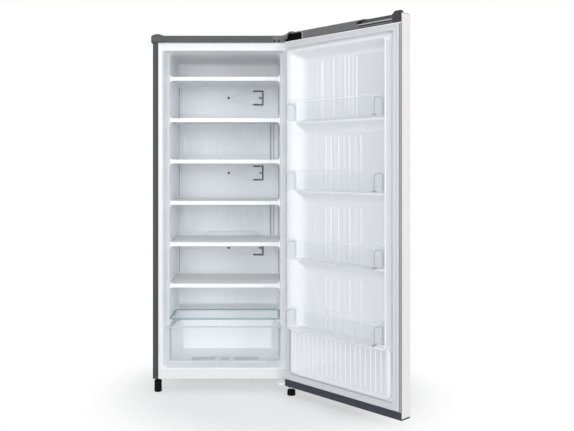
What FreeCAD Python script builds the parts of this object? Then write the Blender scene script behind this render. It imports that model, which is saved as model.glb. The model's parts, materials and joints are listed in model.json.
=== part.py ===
import FreeCAD, Part
import math
import os
import re

import Sketcher

# An upright freezer with its door open. Millimetres, +Z up, floor at Z = 0, doorway facing -Y.
# Cabinet pieces are drawn with X = 0 on the cabinet's centre line and Y = 0 on its front edge.
# Door pieces are drawn with the door shut and the hinge axis at X = 0, Y = 0, then swung open.
# Both are then moved so that the origin lies on the floor under the middle of the whole object.

SIZES = {
    # Cabinet outside
    "cabinet_width": 595,
    "cabinet_depth": 545,
    "cabinet_top": 1494,
    "cabinet_bottom": 57,
    "sheet_steel": 1,
    "side_flange": 23,
    "fold_radius": 2.5,
    "base_steel": 2,
    "rail_height": 27,
    "rail_reach": 202,
    "trim_wall": 4,
    "trim_lap": 24,
    "trim_rise": 2,
    "trim_edge": 1.5,
    "corner_cap_reach": 32,
    "corner_cap_lap": 12,
    "corner_cap_rise": 9,
    "corner_cap_drop": 4,
    "corner_cap_round": 5,
    "kick_lip": 8,
    "emboss_height": 2,
    "emboss_width": 36,
    "emboss_count": 5,
    "emboss_margin": 60,
    # Room inside
    "liner_wall": 2,
    "mouth_wall": 41,
    "mouth_depth": 85,
    "ceiling_wall": 56,
    "floor_wall": 46,
    "floor_step": 6,
    "bay_wall": 58.5,
    "bay_depth": 340,
    "duct_depth": 55,
    "duct_side": 14,
    "drawer_bay_height": 184,
    "drawer_bay_depth": 220,
    "bay_corner_radius": 14,
    "machine_wall": 48,
    # Shelves
    "top_shelf": 1334,
    "shelf_pitch": 178.2,
    "shelf_count": 6,
    "shelf_plate": 6,
    "shelf_bar": 16,
    "shelf_bar_depth": 8,
    "shelf_depth": 322,
    "shelf_play": 1,
    "shelf_horn": 14,
    "shelf_rib": 4,
    "shelf_rib_wall": 3,
    "shelf_rib_inset": 40,
    "shelf_rib_count": 5,
    "ledge_width": 10,
    "ledge_height": 8,
    "glass": 5,
    "seat_gap": 0.3,
    # Bottom drawer
    "drawer_wall": 3,
    "drawer_height": 146,
    "drawer_front_margin": 6.5,
    "drawer_front_height": 148,
    "drawer_front_set": 78,
    "drawer_lip": 7,
    "drawer_slot": 5,
    "drawer_slot_rise": 8,
    "drawer_slot_short": 29,
    "drawer_slot_long": 95,
    "drawer_slot_start": 43,
    "drawer_corner": 16,
    "drawer_rear_gap": 6,
    "drawer_front_lift": 3.7,
    # Air duct
    "duct_cover": 4,
    "duct_lap": 6,
    "duct_post": 7,
    "duct_post_bore": 24,
    "vent_width": 50,
    "vent_height": 72,
    "vent_slot": 8,
    "vent_side": 116,
    "vent_level": 60,
    "panel_left": 218,
    "panel_right": 191,
    "panel_height": 118,
    "panel_relief": 3,
    "flute_width": 7,
    "flute_pitch": 17,
    "flute_count": 22,
    "fan_height": 1080,
    "fan_radius": 52,
    "fan_depth": 18,
    "fan_hub": 15,
    "fan_blades": 7,
    "blade_lean": 3,
    "motor_radius": 22,
    "motor_shaft": 2.5,
    "shaft_play": 0.06,
    "coil_fin": 1.5,
    "coil_pitch": 14,
    "evaporator_width": 360,
    "evaporator_height": 230,
    "evaporator_base": 600,
    "coil_tube": 4,
    "tube_reach": 14,
    "coil_gap": 8,
    # Door
    "door_bottom": 40,
    "door_top": 1498,
    "door_thickness": 54,
    "door_gap": 10,
    "door_angle": 133,
    "pivot_inset": 15,
    "pivot_forward": 33,
    "door_corner": 6,
    "door_skin_set": 2,
    "bottom_cap": 28,
    "top_cap": 34,
    "liner_edge": 4,
    "return_flange": 12,
    "gasket_edge": 11,
    "gasket_width": 24,
    "gasket_height": 9.4,
    "magnet_width": 8,
    "magnet_depth": 2.5,
    "dyke_hinge": 48,
    "dyke_free": 44,
    "dyke_foot": 36,
    "dyke_head": 43,
    "dyke_height": 35,
    "dyke_draft": 6,
    "dyke_hinge_width": 32,
    "dyke_free_width": 10,
    "dyke_end_width": 20,
    "dyke_corner": 20,
    "rib_height": 2.5,
    "rib_width": 7,
    "rib_pitch": 57.5,
    "rib_count": 8,
    "pocket_length": 100,
    "pocket_floor": 6,
    "pocket_lining": 4,
    "pocket_clear": 34,
    "grip_near": 372,
    "grip_far": 551,
    "grip_depth": 15,
    "grip_height": 17,
    "cap_boss": 9,
    # Door bins
    "bin_top": 1208,
    "bin_pitch": 274,
    "bin_count": 4,
    "bin_height": 82,
    "bin_wall": 2.5,
    "bin_front": 87,
    "bin_corner": 12,
    "bin_gap": 6,
    "knob_radius": 3,
    "knob_rise": 9,
    "knob_reach": 15,
    "ledge_depth": 30,
    "ledge_lip": 8,
    "ledge_drop": 40,
    # Hinges and feet
    "pin_radius": 5,
    "pin_play": 0.06,
    "bush_radius": 8,
    "bush_flange": 11,
    "bush_rim": 2,
    "bracket_steel": 4,
    "bracket_width": 65,
    "nose_radius": 14,
    "upper_pin": 26,
    "lower_pin": 24,
    "bracket_drop": 23,
    "hinge_cover_rise": 14,
    "apron": 2.2,
    "cover_wall": 2.5,
    "foot_radius": 16,
    "foot_stem": 4,
    "foot_set": 20,
    "foot_inset": 19.5,
    "foot_pad": 8,
    "foot_boss": 12,
    "foot_room": 32,
    "hinge_foot_radius": 17.5,
    "hinge_foot_stem": 3,
    "roller_radius": 21,
    "roller_width": 22,
    "roller_inset": 55,
    "roller_set": 60,
    "axle_radius": 3,
    "roller_cheek": 2.5,
    # Machine compartment
    "compressor_radius": 66,
    "compressor_height": 150,
    "compressor_across": 150,
    "mount_height": 14,
    "mount_radius": 9,
    "mount_across": 68,
    "mount_along": 42,
    "compressor_plate": 3,
    "compressor_plate_edge": 12,
    "compressor_plate_depth": 52,
    "compressor_dome": 26,
    "condenser_width": 190,
    "condenser_height": 110,
    "condenser_across": -165,
    "pan_height": 16,
    "pan_wall": 2,
    "pan_edge": 20,
    "pan_set": 14,
    "condenser_set": 50,
    "condenser_depth": 60,
    "condenser_lift": 12,
    "condenser_foot": 9,
    "rear_grille": 2,
    "rear_flange": 22,
    "gland_radius": 9,
    "grille_slot": 5,
    "grille_pitch": 16,
    "grille_count": 9,
    "grille_low": 24,
    "grille_middle": 20,
    "grille_left": 30,
    "grille_right": 90,
    "gland_inset": 45,
    "gland_height": 40,
    "gland_bore": 4.5,
    "control_left": 10,
    "control_right": 60,
    "control_height": 42,
    "control_depth": 56,
    "control_set": 14,
    "control_round": 3,
    # Fasteners
    "screw_radius": 2.4,
    "screw_play": 0.1,
    "screw_head": 5,
    "screw_head_height": 3,
    "screw_length": 14,
}

# Derived places, written as formulas of the sizes above
HALF = "(cabinet_width / 2)"
INNER = "(cabinet_width / 2 - sheet_steel)"
BACK = "(cabinet_depth - sheet_steel)"
FLOOR_PLATE = "(cabinet_bottom + base_steel)"
ROOF = "(cabinet_top - sheet_steel)"
RAIL_LOW = "(cabinet_top - rail_height)"
MOUTH = "(cabinet_width / 2 - mouth_wall)"
BAY = "(cabinet_width / 2 - bay_wall)"
MOUTH_LOW = "(cabinet_bottom + floor_wall)"
MOUTH_HIGH = "(cabinet_top - ceiling_wall)"
BAY_LOW = "(cabinet_bottom + floor_wall + floor_step)"
BAY_BACK = "(mouth_depth + bay_depth)"
DUCT_BACK = "(mouth_depth + bay_depth + duct_depth)"
STEP_TOP = f"({BAY_LOW} + drawer_bay_height)"
STEP_FRONT = "(mouth_depth + drawer_bay_depth)"
MACHINE_FRONT = f"({STEP_FRONT} + liner_wall + machine_wall)"
MACHINE_TOP = f"({STEP_TOP} - liner_wall - machine_wall)"
LOWEST_SHELF = "(top_shelf - (shelf_count - 1) * shelf_pitch)"
DUCT_LOW = f"({LOWEST_SHELF} + duct_lap)"
DUCT_HIGH = "(top_shelf - shelf_bar)"
DUCT_HALF = f"({BAY} - duct_side)"

# Door places, measured from the hinge axis with the door shut
FACE = "(pivot_forward - door_gap)"
SKIN = "(pivot_forward - door_gap - door_thickness)"
LINER_LOW = "(door_bottom + bottom_cap)"
LINER_HIGH = "(door_top - top_cap)"
POCKET_FLOOR = f"({LINER_HIGH} + pocket_floor)"
POCKET_SEAT = f"({LINER_HIGH} + pocket_floor + pocket_lining)"
LEDGE_NEAR = "(dyke_hinge + dyke_hinge_width)"
LEDGE_FAR = "(cabinet_width - dyke_free - dyke_free_width)"
BIN_NEAR = f"({LEDGE_NEAR} + bin_gap)"
BIN_FAR = f"({LEDGE_FAR} - bin_gap + 1)"
PIVOT_X = f"({HALF} - pivot_inset)"

# Half of the object's overall reach, which centres it on the origin
COS = "cos(door_angle * 1 deg)"
SIN = "sin(door_angle * 1 deg)"
LEFT_END = f"({HALF} + trim_wall + cover_wall)"
RIGHT_END = (
    f"({PIVOT_X} - (cabinet_width - pivot_inset - door_corner) * {COS}"
    f" - ({SKIN} + door_corner) * {SIN} + door_corner)"
)
FRONT_END = (
    f"(pivot_forward + ({BIN_FAR} - pivot_inset - bin_corner) * {SIN}"
    f" - ({FACE} + bin_front - bin_corner) * {COS} + bin_corner)"
)
SHIFT_X = f"(({LEFT_END} - {RIGHT_END}) / 2)"
SHIFT_Y = f"(({FRONT_END} - cabinet_depth - emboss_height) / 2)"

document = FreeCAD.newDocument("Freezer")
sheet = document.addObject("Spreadsheet::Sheet", "Sizes")
for row, (alias, value) in enumerate(SIZES.items(), start=1):
    sheet.set(f"A{row}", alias)
    sheet.set(f"B{row}", str(value))
    sheet.setAlias(f"B{row}", alias)
document.recompute()

WORDS = re.compile(r"\b(" + "|".join(SIZES) + r")\b")
nodes = []


def formula(text):
    """The text of a formula, with each size's name turned into a reference to its cell."""
    return WORDS.sub(r"Sizes.\1", str(text))


def value_of(text):
    """What a formula comes to."""
    result = sheet.evalExpression(formula(text))
    return float(getattr(result, "Value", result))


def bind(thing, prop, text):
    thing.setExpression(prop, formula(text))


def negative(text):
    return f"(-({text}))"


def span(side, inner, outer):
    """From inner to outer on one side of the centre line, lowest first. side is 1 or -1."""
    if side > 0:
        return inner, outer
    return negative(outer), negative(inner)


def across(distance):
    """A door place's X, from its distance along the door from the hinge-side edge."""
    return f"(pivot_inset - ({distance}))"


def origin_item(body, role):
    return next(item for item in body.Origin.OriginFeatures if item.Role == role)


def new_body(label, group="cabinet"):
    """An empty body, placed with the cabinet or swung open with the door."""
    body = document.addObject("PartDesign::Body", label)
    body.Label = label
    if group == "door":
        upright = FreeCAD.Rotation(FreeCAD.Vector(0, 0, 1), 1)
        body.Placement = FreeCAD.Placement(FreeCAD.Vector(0, 0, 0), upright)
        bind(body, "Placement.Rotation.Angle", "door_angle")
        bind(body, "Placement.Base.x", f"{PIVOT_X} + {SHIFT_X}")
        bind(body, "Placement.Base.y", f"{SHIFT_Y} - pivot_forward")
    else:
        bind(body, "Placement.Base.x", SHIFT_X)
        bind(body, "Placement.Base.y", SHIFT_Y)
    nodes.append(body)
    return body


def block(body, low, high, cut=False):
    """A box from its low corner to its high corner, added to the body or cut from it."""
    kind = "SubtractiveBox" if cut else "AdditiveBox"
    box = body.newObject(f"PartDesign::{kind}", "Block")
    for prop, start, end in zip(("Length", "Width", "Height"), low, high):
        bind(box, prop, f"({end}) - ({start})")
    for axis, start in zip("xyz", low):
        bind(box, f"Placement.Base.{axis}", start)
    return box


TURNS = {
    "Z": FreeCAD.Rotation(),
    "Y": FreeCAD.Rotation(FreeCAD.Vector(1, 0, 0), -90),
    "X": FreeCAD.Rotation(FreeCAD.Vector(0, 1, 0), 90),
}


def rod(body, start, length, radius, axis="Z", cut=False):
    """A cylinder that begins at start and runs along +X, +Y or +Z."""
    kind = "SubtractiveCylinder" if cut else "AdditiveCylinder"
    cylinder = body.newObject(f"PartDesign::{kind}", "Rod")
    cylinder.Placement = FreeCAD.Placement(FreeCAD.Vector(0, 0, 0), TURNS[axis])
    bind(cylinder, "Radius", radius)
    bind(cylinder, "Height", length)
    for letter, place in zip("xyz", start):
        bind(cylinder, f"Placement.Base.{letter}", place)
    return cylinder


def outline(body, role, offset, points):
    """A closed sketch of straight lines on an origin plane. Each corner is bound to its formulas."""
    sketch = body.newObject("Sketcher::SketchObject", "Outline")
    sketch.AttachmentSupport = (origin_item(body, role), [""])
    sketch.MapMode = "FlatFace"
    bind(sketch, "AttachmentOffset.Base.z", offset)
    corners = [FreeCAD.Vector(value_of(u), value_of(v), 0) for u, v in points]
    count = len(corners)
    for i in range(count):
        sketch.addGeometry(Part.LineSegment(corners[i], corners[(i + 1) % count]), False)
    for i in range(count):
        sketch.addConstraint(Sketcher.Constraint("Coincident", i, 2, (i + 1) % count, 1))
    for i, place in enumerate(points):
        for kind, text in zip(("DistanceX", "DistanceY"), place):
            datum = Sketcher.Constraint(kind, -1, 1, i, 1, value_of(text))
            bind(sketch, f"Constraints[{sketch.addConstraint(datum)}]", text)
    return sketch


def rectangle(low, high):
    return [(low[0], low[1]), (high[0], low[1]), (high[0], high[1]), (low[0], high[1])]


def extrude(body, sketch, length, cut=False, away=False, taper=0):
    """A pad or a pocket of the sketch's outline."""
    feature = body.newObject("PartDesign::Pocket" if cut else "PartDesign::Pad", "Run")
    feature.Profile = sketch
    bind(feature, "Length", length)
    feature.Reversed = away
    if taper:
        bind(feature, "TaperAngle", taper)
    return feature


def prism(body, points, low, high, cut=False):
    """An outline in X and Z, carried along Y from low to high."""
    sketch = outline(body, "XZ_Plane", negative(low), points)
    return extrude(body, sketch, f"({high}) - ({low})", cut=cut, away=not cut)


def repeat(body, features, axis, length, count):
    """A row of copies of some features along an axis of the body."""
    row = body.newObject("PartDesign::LinearPattern", "Row")
    row.Originals = features
    row.Direction = (origin_item(body, f"{axis}_Axis"), [""])
    bind(row, "Length", length)
    bind(row, "Occurrences", count)
    body.Tip = row
    return row


def circle_of(body, features, axis, count):
    """Copies of some features round an axis of the body."""
    ring = body.newObject("PartDesign::PolarPattern", "Ring")
    ring.Originals = features
    ring.Axis = (origin_item(body, f"{axis}_Axis"), [""])
    ring.Angle = 360
    bind(ring, "Occurrences", count)
    body.Tip = ring
    return ring


def settle(body):
    """Bring the body's own features up to date."""
    for item in body.Group:
        if "Touched" in item.State:
            item.recompute()


def edges_where(body, direction, test):
    """Names of the straight edges along a direction whose middle passes a test."""
    along = {"X": FreeCAD.Vector(1, 0, 0), "Y": FreeCAD.Vector(0, 1, 0), "Z": FreeCAD.Vector(0, 0, 1)}
    found = []
    for number, edge in enumerate(body.Tip.Shape.Edges, start=1):
        if not isinstance(edge.Curve, Part.Line):
            continue
        start, end = edge.Vertexes[0].Point, edge.Vertexes[-1].Point
        run = (end - start).normalize()
        if abs(run * along[direction]) > 0.999 and test((start + end) / 2):
            found.append(f"Edge{number}")
    return found


def fillet(body, radius, direction, test):
    """Round the straight edges along a direction that pass a test."""
    settle(body)
    round_off(body, radius, edges_where(body, direction, test))


def round_off(body, radius, names):
    """Round the named edges of the body's last feature."""
    if not names:
        raise ValueError(f"{body.Label} has no edge to round")
    base = body.Tip
    rounded = body.newObject("PartDesign::Fillet", "Rounding")
    rounded.Base = (base, names)
    bind(rounded, "Radius", radius)


def near(a, text, reach=0.05):
    return abs(a - value_of(text)) < reach


def screw(body, head_face, axis="Z", toward=1, length="screw_length"):
    """A screw whose head sits on head_face and whose shank runs the other way."""
    x, y, z = head_face
    index = "XYZ".index(axis)
    shank = [x, y, z]
    head = [x, y, z]
    if toward > 0:
        shank[index] = f"({head_face[index]}) - ({length})"
    else:
        head[index] = f"({head_face[index]}) - screw_head_height"
    rod(body, head, "screw_head_height", "screw_head", axis)
    rod(body, shank, length, "screw_radius", axis)


def screw_hole(body, start, length, axis="Z"):
    rod(body, start, length, "(screw_radius + screw_play)", axis, cut=True)


# ---------------------------------------------------------------- cabinet shell


UPPER_SCREWS = [
    (f"{PIVOT_X} - {reach}", depth)
    for reach, depth in ((8, "22"), (52, "22"), (30, "62"))
]
LOWER_SCREWS = [(f"{PIVOT_X} - {reach}", "36") for reach in (6, 40)]
GRILLE_SCREW_X = f"({HALF} - rear_flange / 2)"
GRILLE_SCREW_HEIGHTS = (f"({FLOOR_PLATE} + 10)", f"({MACHINE_TOP} - 11)")


def side_panel(side):
    """Bent sheet: the side of the cabinet, with its flange folded across the front."""
    body = new_body("left_side_panel" if side < 0 else "right_side_panel")
    x0, x1 = span(side, INNER, HALF)
    block(body, (x0, 0, "cabinet_bottom"), (x1, BACK, "cabinet_top"))
    x0, x1 = span(side, f"{HALF} - side_flange", HALF)
    block(body, (x0, 0, "cabinet_bottom"), (x1, "sheet_steel", RAIL_LOW))
    fillet(
        body, "fold_radius", "Z",
        lambda p: near(abs(p.x), HALF) and near(p.y, 0) and p.z < value_of(RAIL_LOW),
    )
    x0, x1 = span(side, f"{INNER} - rear_flange", HALF)
    rear = f"({BACK} - rear_grille)"
    block(
        body, (x0, f"{rear} - sheet_steel", FLOOR_PLATE),
        (x1, rear, f"{MACHINE_TOP} - sheet_steel"),
    )
    for z in GRILLE_SCREW_HEIGHTS:
        screw_hole(body, (f"{side} * {GRILLE_SCREW_X}", f"{rear} - 2", z), 3, "Y")


def top_panel():
    body = new_body("top_panel")
    block(body, (negative(INNER), 0, ROOF), (INNER, BACK, "cabinet_top"))
    for x, y in UPPER_SCREWS:
        screw_hole(body, (x, y, f"{ROOF} - 1"), "sheet_steel + 2")


def back_panel():
    """Flat rear sheet with raised upright ribs."""
    body = new_body("back_panel")
    block(body, (negative(HALF), BACK, MACHINE_TOP), (HALF, "cabinet_depth", "cabinet_top"))
    pitch = "(cabinet_width / (emboss_count + 0.5))"
    first = f"(-{pitch} * (emboss_count - 1) / 2)"
    rib = block(
        body,
        (f"{first} - emboss_width / 2", "cabinet_depth", f"{MACHINE_TOP} + emboss_margin"),
        (f"{first} + emboss_width / 2", "cabinet_depth + emboss_height", "cabinet_top - emboss_margin"),
    )
    repeat(body, [rib], "X", f"{pitch} * (emboss_count - 1)", "emboss_count")


def machine_panel():
    """Bent sheet that closes the insulation off above and in front of the machine compartment."""
    body = new_body("machine_compartment_panel")
    block(
        body, (negative(INNER), MACHINE_FRONT, FLOOR_PLATE),
        (INNER, f"{MACHINE_FRONT} + sheet_steel", MACHINE_TOP),
    )
    block(
        body, (negative(INNER), MACHINE_FRONT, f"{MACHINE_TOP} - sheet_steel"),
        (INNER, BACK, MACHINE_TOP),
    )


def base_plate():
    """Steel floor of the cabinet, with a threaded boss for the front left foot."""
    body = new_body("base_plate")
    block(body, (negative(INNER), "sheet_steel", "cabinet_bottom"), (INNER, BACK, FLOOR_PLATE))
    foot = (f"foot_inset - {HALF}", "foot_set")
    rod(body, (*foot, FLOOR_PLATE), "foot_boss", "2 * foot_stem")
    rod(body, (*foot, "cabinet_bottom - 1"), "foot_room", "foot_stem + pin_play", cut=True)
    for x, y in LOWER_SCREWS:
        screw_hole(body, (x, y, "cabinet_bottom - 1"), "base_steel + 2")


def front_top_rail():
    """Dark trim along the top edge of the doorway, lapped over the roof."""
    body = new_body("front_top_rail")
    block(body, (negative(HALF), negative("trim_wall"), RAIL_LOW), ("rail_reach", 0, "cabinet_top"))
    block(
        body, (negative(HALF), negative("trim_wall"), "cabinet_top"),
        ("rail_reach", "trim_lap", "cabinet_top + trim_rise"),
    )
    fillet(
        body, "trim_edge", "X",
        lambda p: near(p.y, "-trim_wall") and near(p.z, "cabinet_top + trim_rise"),
    )


def left_corner_cap():
    """Hollow cap over the cabinet's top left corner."""
    body = new_body("left_corner_cap")
    skin = "(trim_wall + seat_gap)"
    block(
        body, (negative(LEFT_END), f"-{skin} - cover_wall", f"{RAIL_LOW} - corner_cap_drop"),
        (
            f"side_flange + corner_cap_reach - {HALF}", "trim_lap + corner_cap_lap",
            "cabinet_top + corner_cap_rise",
        ),
    )
    fillet(
        body, "corner_cap_round", "Y",
        lambda p: near(p.x, negative(LEFT_END)) and p.z > value_of("cabinet_top"),
    )
    fillet(body, "corner_cap_round", "X", lambda p: p.y < 0 and p.z > value_of("cabinet_top"))
    block(
        body, (f"-{HALF} - seat_gap", f"-{skin}", f"{RAIL_LOW} - corner_cap_drop - 1"),
        (0, "trim_lap + corner_cap_lap + 1", "cabinet_top + trim_rise + seat_gap"), cut=True,
    )


def kick_plate():
    body = new_body("kick_plate")
    half = f"({HALF} - side_flange)"
    block(
        body, (negative(half), 0, FLOOR_PLATE),
        (half, 2, f"{MOUTH_LOW} - kick_lip"),
    )


def insulation():
    """Foam that fills the walls, with the inner room and the machine compartment left open."""
    body = new_body("cabinet_insulation")
    wall = "liner_wall"
    block(body, (negative(INNER), 2, FLOOR_PLATE), (INNER, BACK, ROOF))
    mouth = f"({MOUTH} + {wall})"
    bay = f"({BAY} + {wall})"
    block(
        body, (negative(mouth), 0, f"{MOUTH_LOW} - {wall}"),
        (mouth, f"mouth_depth + {wall}", f"{MOUTH_HIGH} + {wall}"), cut=True,
    )
    block(
        body, (negative(bay), 0, f"{BAY_LOW} - {wall}"),
        (bay, f"{STEP_FRONT} + {wall}", f"{MOUTH_HIGH} + {wall}"), cut=True,
    )
    block(
        body, (negative(bay), 0, f"{STEP_TOP} - {wall}"),
        (bay, f"{BAY_BACK} + {wall}", f"{MOUTH_HIGH} + {wall}"), cut=True,
    )
    recess = f"({DUCT_HALF} - duct_lap + {wall})"
    block(
        body, (negative(recess), 0, f"{DUCT_LOW} + duct_lap - {wall}"),
        (recess, f"{DUCT_BACK} + {wall}", f"{DUCT_HIGH} - duct_lap + {wall}"), cut=True,
    )
    block(
        body, (negative(HALF), MACHINE_FRONT, 0),
        (HALF, "cabinet_depth", MACHINE_TOP), cut=True,
    )
    rod(
        body, (f"foot_inset - {HALF}", "foot_set", "cabinet_bottom"), "foot_room",
        "2 * foot_stem + 1", cut=True,
    )
    for x, y in UPPER_SCREWS:
        screw_hole(body, (x, y, "cabinet_top - screw_length - 1"), "screw_length")
    for x, y in LOWER_SCREWS:
        screw_hole(body, (x, y, "cabinet_bottom"), "screw_length")


def inner_liner():
    """Moulded white lining: a wide mouth, the narrower bays behind it, the step over the
    machine compartment, the recess for the air duct, and a pair of ledges for each shelf."""
    body = new_body("inner_liner")
    wall = "liner_wall"
    flange = f"({HALF} - side_flange)"
    block(body, (negative(flange), 0, f"{MOUTH_LOW} - kick_lip"), (flange, wall, RAIL_LOW))
    mouth = f"({MOUTH} + {wall})"
    bay = f"({BAY} + {wall})"
    recess = f"({DUCT_HALF} - duct_lap)"
    block(
        body, (negative(mouth), 0, f"{MOUTH_LOW} - {wall}"),
        (mouth, f"mouth_depth + {wall}", f"{MOUTH_HIGH} + {wall}"),
    )
    block(
        body, (negative(bay), 0, f"{BAY_LOW} - {wall}"),
        (bay, f"{STEP_FRONT} + {wall}", f"{MOUTH_HIGH} + {wall}"),
    )
    block(
        body, (negative(bay), 0, f"{STEP_TOP} - {wall}"),
        (bay, f"{BAY_BACK} + {wall}", f"{MOUTH_HIGH} + {wall}"),
    )
    block(
        body, (f"-{recess} - {wall}", 0, f"{DUCT_LOW} + duct_lap - {wall}"),
        (f"{recess} + {wall}", f"{DUCT_BACK} + {wall}", f"{DUCT_HIGH} - duct_lap + {wall}"),
    )
    block(body, (negative(MOUTH), -1, MOUTH_LOW), (MOUTH, "mouth_depth", MOUTH_HIGH), cut=True)
    block(body, (negative(BAY), -1, BAY_LOW), (BAY, STEP_FRONT, MOUTH_HIGH), cut=True)
    block(body, (negative(BAY), -1, STEP_TOP), (BAY, BAY_BACK, MOUTH_HIGH), cut=True)
    block(
        body, (negative(recess), -1, f"{DUCT_LOW} + duct_lap"),
        (recess, DUCT_BACK, f"{DUCT_HIGH} - duct_lap"), cut=True,
    )
    for side in (-1, 1):
        x0, x1 = span(side, f"{BAY} - ledge_width", f"{BAY} + {wall} / 2")
        for level in range(SIZES["shelf_count"]):
            top = f"(top_shelf - {level} * shelf_pitch - shelf_plate)"
            block(
                body, (x0, "mouth_depth + 2 * shelf_bar_depth", f"{top} - ledge_height"),
                (x1, "mouth_depth + shelf_depth", top),
            )
        top = f"({STEP_TOP} - glass)"
        block(
            body, (x0, "mouth_depth + 2 * shelf_bar_depth", f"{top} - ledge_height"),
            (x1, f"{STEP_FRONT} - bay_corner_radius - shelf_rib", top),
        )
    for level in (0, 2, 4):
        post = (0, BAY_BACK, f"top_shelf - {level} * shelf_pitch - vent_level")
        rod(body, post, "duct_depth + 1", "duct_post", "Y")
        rod(body, post, "duct_post_bore", "(screw_radius + screw_play)", "Y", cut=True)
    fillet(
        body, "bay_corner_radius", "Z",
        lambda p: near(abs(p.x), BAY) and (near(p.y, BAY_BACK) or near(p.y, STEP_FRONT)),
    )


def air_duct_cover():
    """Cover over the air duct, with three slotted vents and two fluted panels between them."""
    body = new_body("air_duct_cover")
    front = f"({BAY_BACK} - duct_cover)"
    block(body, (negative(DUCT_HALF), front, DUCT_LOW), (DUCT_HALF, BAY_BACK, DUCT_HIGH))
    for level in (2, 4):
        base = f"(top_shelf - {level} * shelf_pitch + 22)"
        ahead = f"({front} - panel_relief)"
        block(
            body, ("-panel_left", ahead, base),
            ("panel_right", front, f"{base} + panel_height"),
        )
        flute = block(
            body, ("flute_pitch - panel_left", f"{ahead} - 1", f"{base} + 8"),
            ("flute_pitch - panel_left + flute_width", f"{ahead} + 1.2", f"{base} + panel_height - 6"),
            cut=True,
        )
        repeat(body, [flute], "X", "flute_pitch * (flute_count - 1)", "flute_count")
    for level in (0, 2, 4):
        vent(body, f"(top_shelf - {level} * shelf_pitch - vent_level)", front)


def vent(body, middle, front):
    """One bracket-shaped air slot: an upright, two long prongs and a short one, and a screw hole."""
    through = (f"{front} - 1", f"{BAY_BACK} + 1")
    right = "(vent_side + vent_width)"
    rows = (
        (f"{middle} - vent_height / 2", "vent_side"),
        (f"{middle} - vent_slot / 2", f"{right} - 22"),
        (f"{middle} + vent_height / 2 - vent_slot", "vent_side"),
    )
    for low, left in rows:
        block(body, (left, through[0], low), (right, through[1], f"{low} + vent_slot"), cut=True)
    block(
        body, (f"{right} - vent_slot", through[0], f"{middle} - vent_height / 2"),
        (right, through[1], f"{middle} + vent_height / 2"), cut=True,
    )
    screw_hole(body, (0, through[0], middle), "duct_cover + 2", "Y")


def duct_screws():
    body = new_body("duct_cover_screws")
    for level in (0, 2, 4):
        middle = f"(top_shelf - {level} * shelf_pitch - vent_level)"
        screw(body, (0, f"{BAY_BACK} - duct_cover", middle), "Y", toward=-1)


def finned_coil(body, low, high, tube_ends):
    """A block of upright fins on level tubes that stand out at both sides."""
    x0, y0, z0 = low
    x1, y1, z1 = high
    fin = block(body, (x0, y0, z0), (f"{x0} + coil_fin", y1, z1))
    count = f"floor(({x1} - ({x0})) / coil_pitch)"
    repeat(body, [fin], "X", f"({count} - 1) * coil_pitch", count)
    for part in (1, 3, 5):
        level = f"({z0} + ({z1} - ({z0})) * {part} / 6)"
        rod(
            body, (f"{x0} - {tube_ends}", f"({y0} + {y1}) / 2", level),
            f"{x1} - ({x0}) + 2 * {tube_ends}", "coil_tube", "X",
        )


def evaporator():
    body = new_body("evaporator")
    half = "(evaporator_width / 2)"
    finned_coil(
        body, (negative(half), f"{BAY_BACK} + coil_gap", "evaporator_base"),
        (half, f"{DUCT_BACK} - 6", "evaporator_base + evaporator_height"), "tube_reach",
    )
    for side in (-1, 1):
        x0, x1 = span(side, f"{half} + 6", f"{half} + 8")
        block(
            body, (x0, f"{BAY_BACK} + coil_gap", "evaporator_base"),
            (x1, DUCT_BACK, "evaporator_base + evaporator_height"),
        )


def fan(label, centre, radius):
    """Axial fan on a level shaft along Y: a hub with blades set round it."""
    x, y, z = centre
    body = new_body(label)
    bind(body, "Placement.Base.x", f"{SHIFT_X} + {x}")
    bind(body, "Placement.Base.y", f"{SHIFT_Y} + {y}")
    bind(body, "Placement.Base.z", z)
    rod(body, (0, 0, 0), "fan_depth", "fan_hub", "Y")
    points = [
        ("-blade_lean", "1"), ("4", "1"), ("3 * blade_lean", "fan_depth - 1"),
        ("2", "fan_depth - 1"),
    ]
    sketch = outline(body, "XY_Plane", "fan_hub - 2", points)
    blade = extrude(body, sketch, f"{radius} - fan_hub + 2")
    circle_of(body, [blade], "Y", "fan_blades")
    rod(body, (0, -1, 0), "fan_depth + 2", "motor_shaft + shaft_play", "Y", cut=True)


def fan_motor(label, centre, back):
    """Motor behind a fan, with its shaft through the hub and a strap to the wall behind."""
    x, y, z = centre
    body = new_body(label)
    rear = f"({y} + fan_depth + 2)"
    rod(body, (x, y, z), f"{rear} - ({y})", "motor_shaft", "Y")
    rod(body, (x, rear, z), f"{back} - 2 - {rear}", "motor_radius", "Y")
    block(
        body, (f"{x} - fan_radius - 10", f"{back} - 2", f"{z} - 9"),
        (f"{x} + fan_radius + 10", back, f"{z} + 9"),
    )


def duct_fan():
    centre = (0, f"({BAY_BACK} + coil_gap)", "fan_height")
    fan("evaporator_fan", centre, "fan_radius")
    fan_motor("evaporator_fan_motor", centre, DUCT_BACK)


# ---------------------------------------------------------------- shelves and drawer


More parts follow.
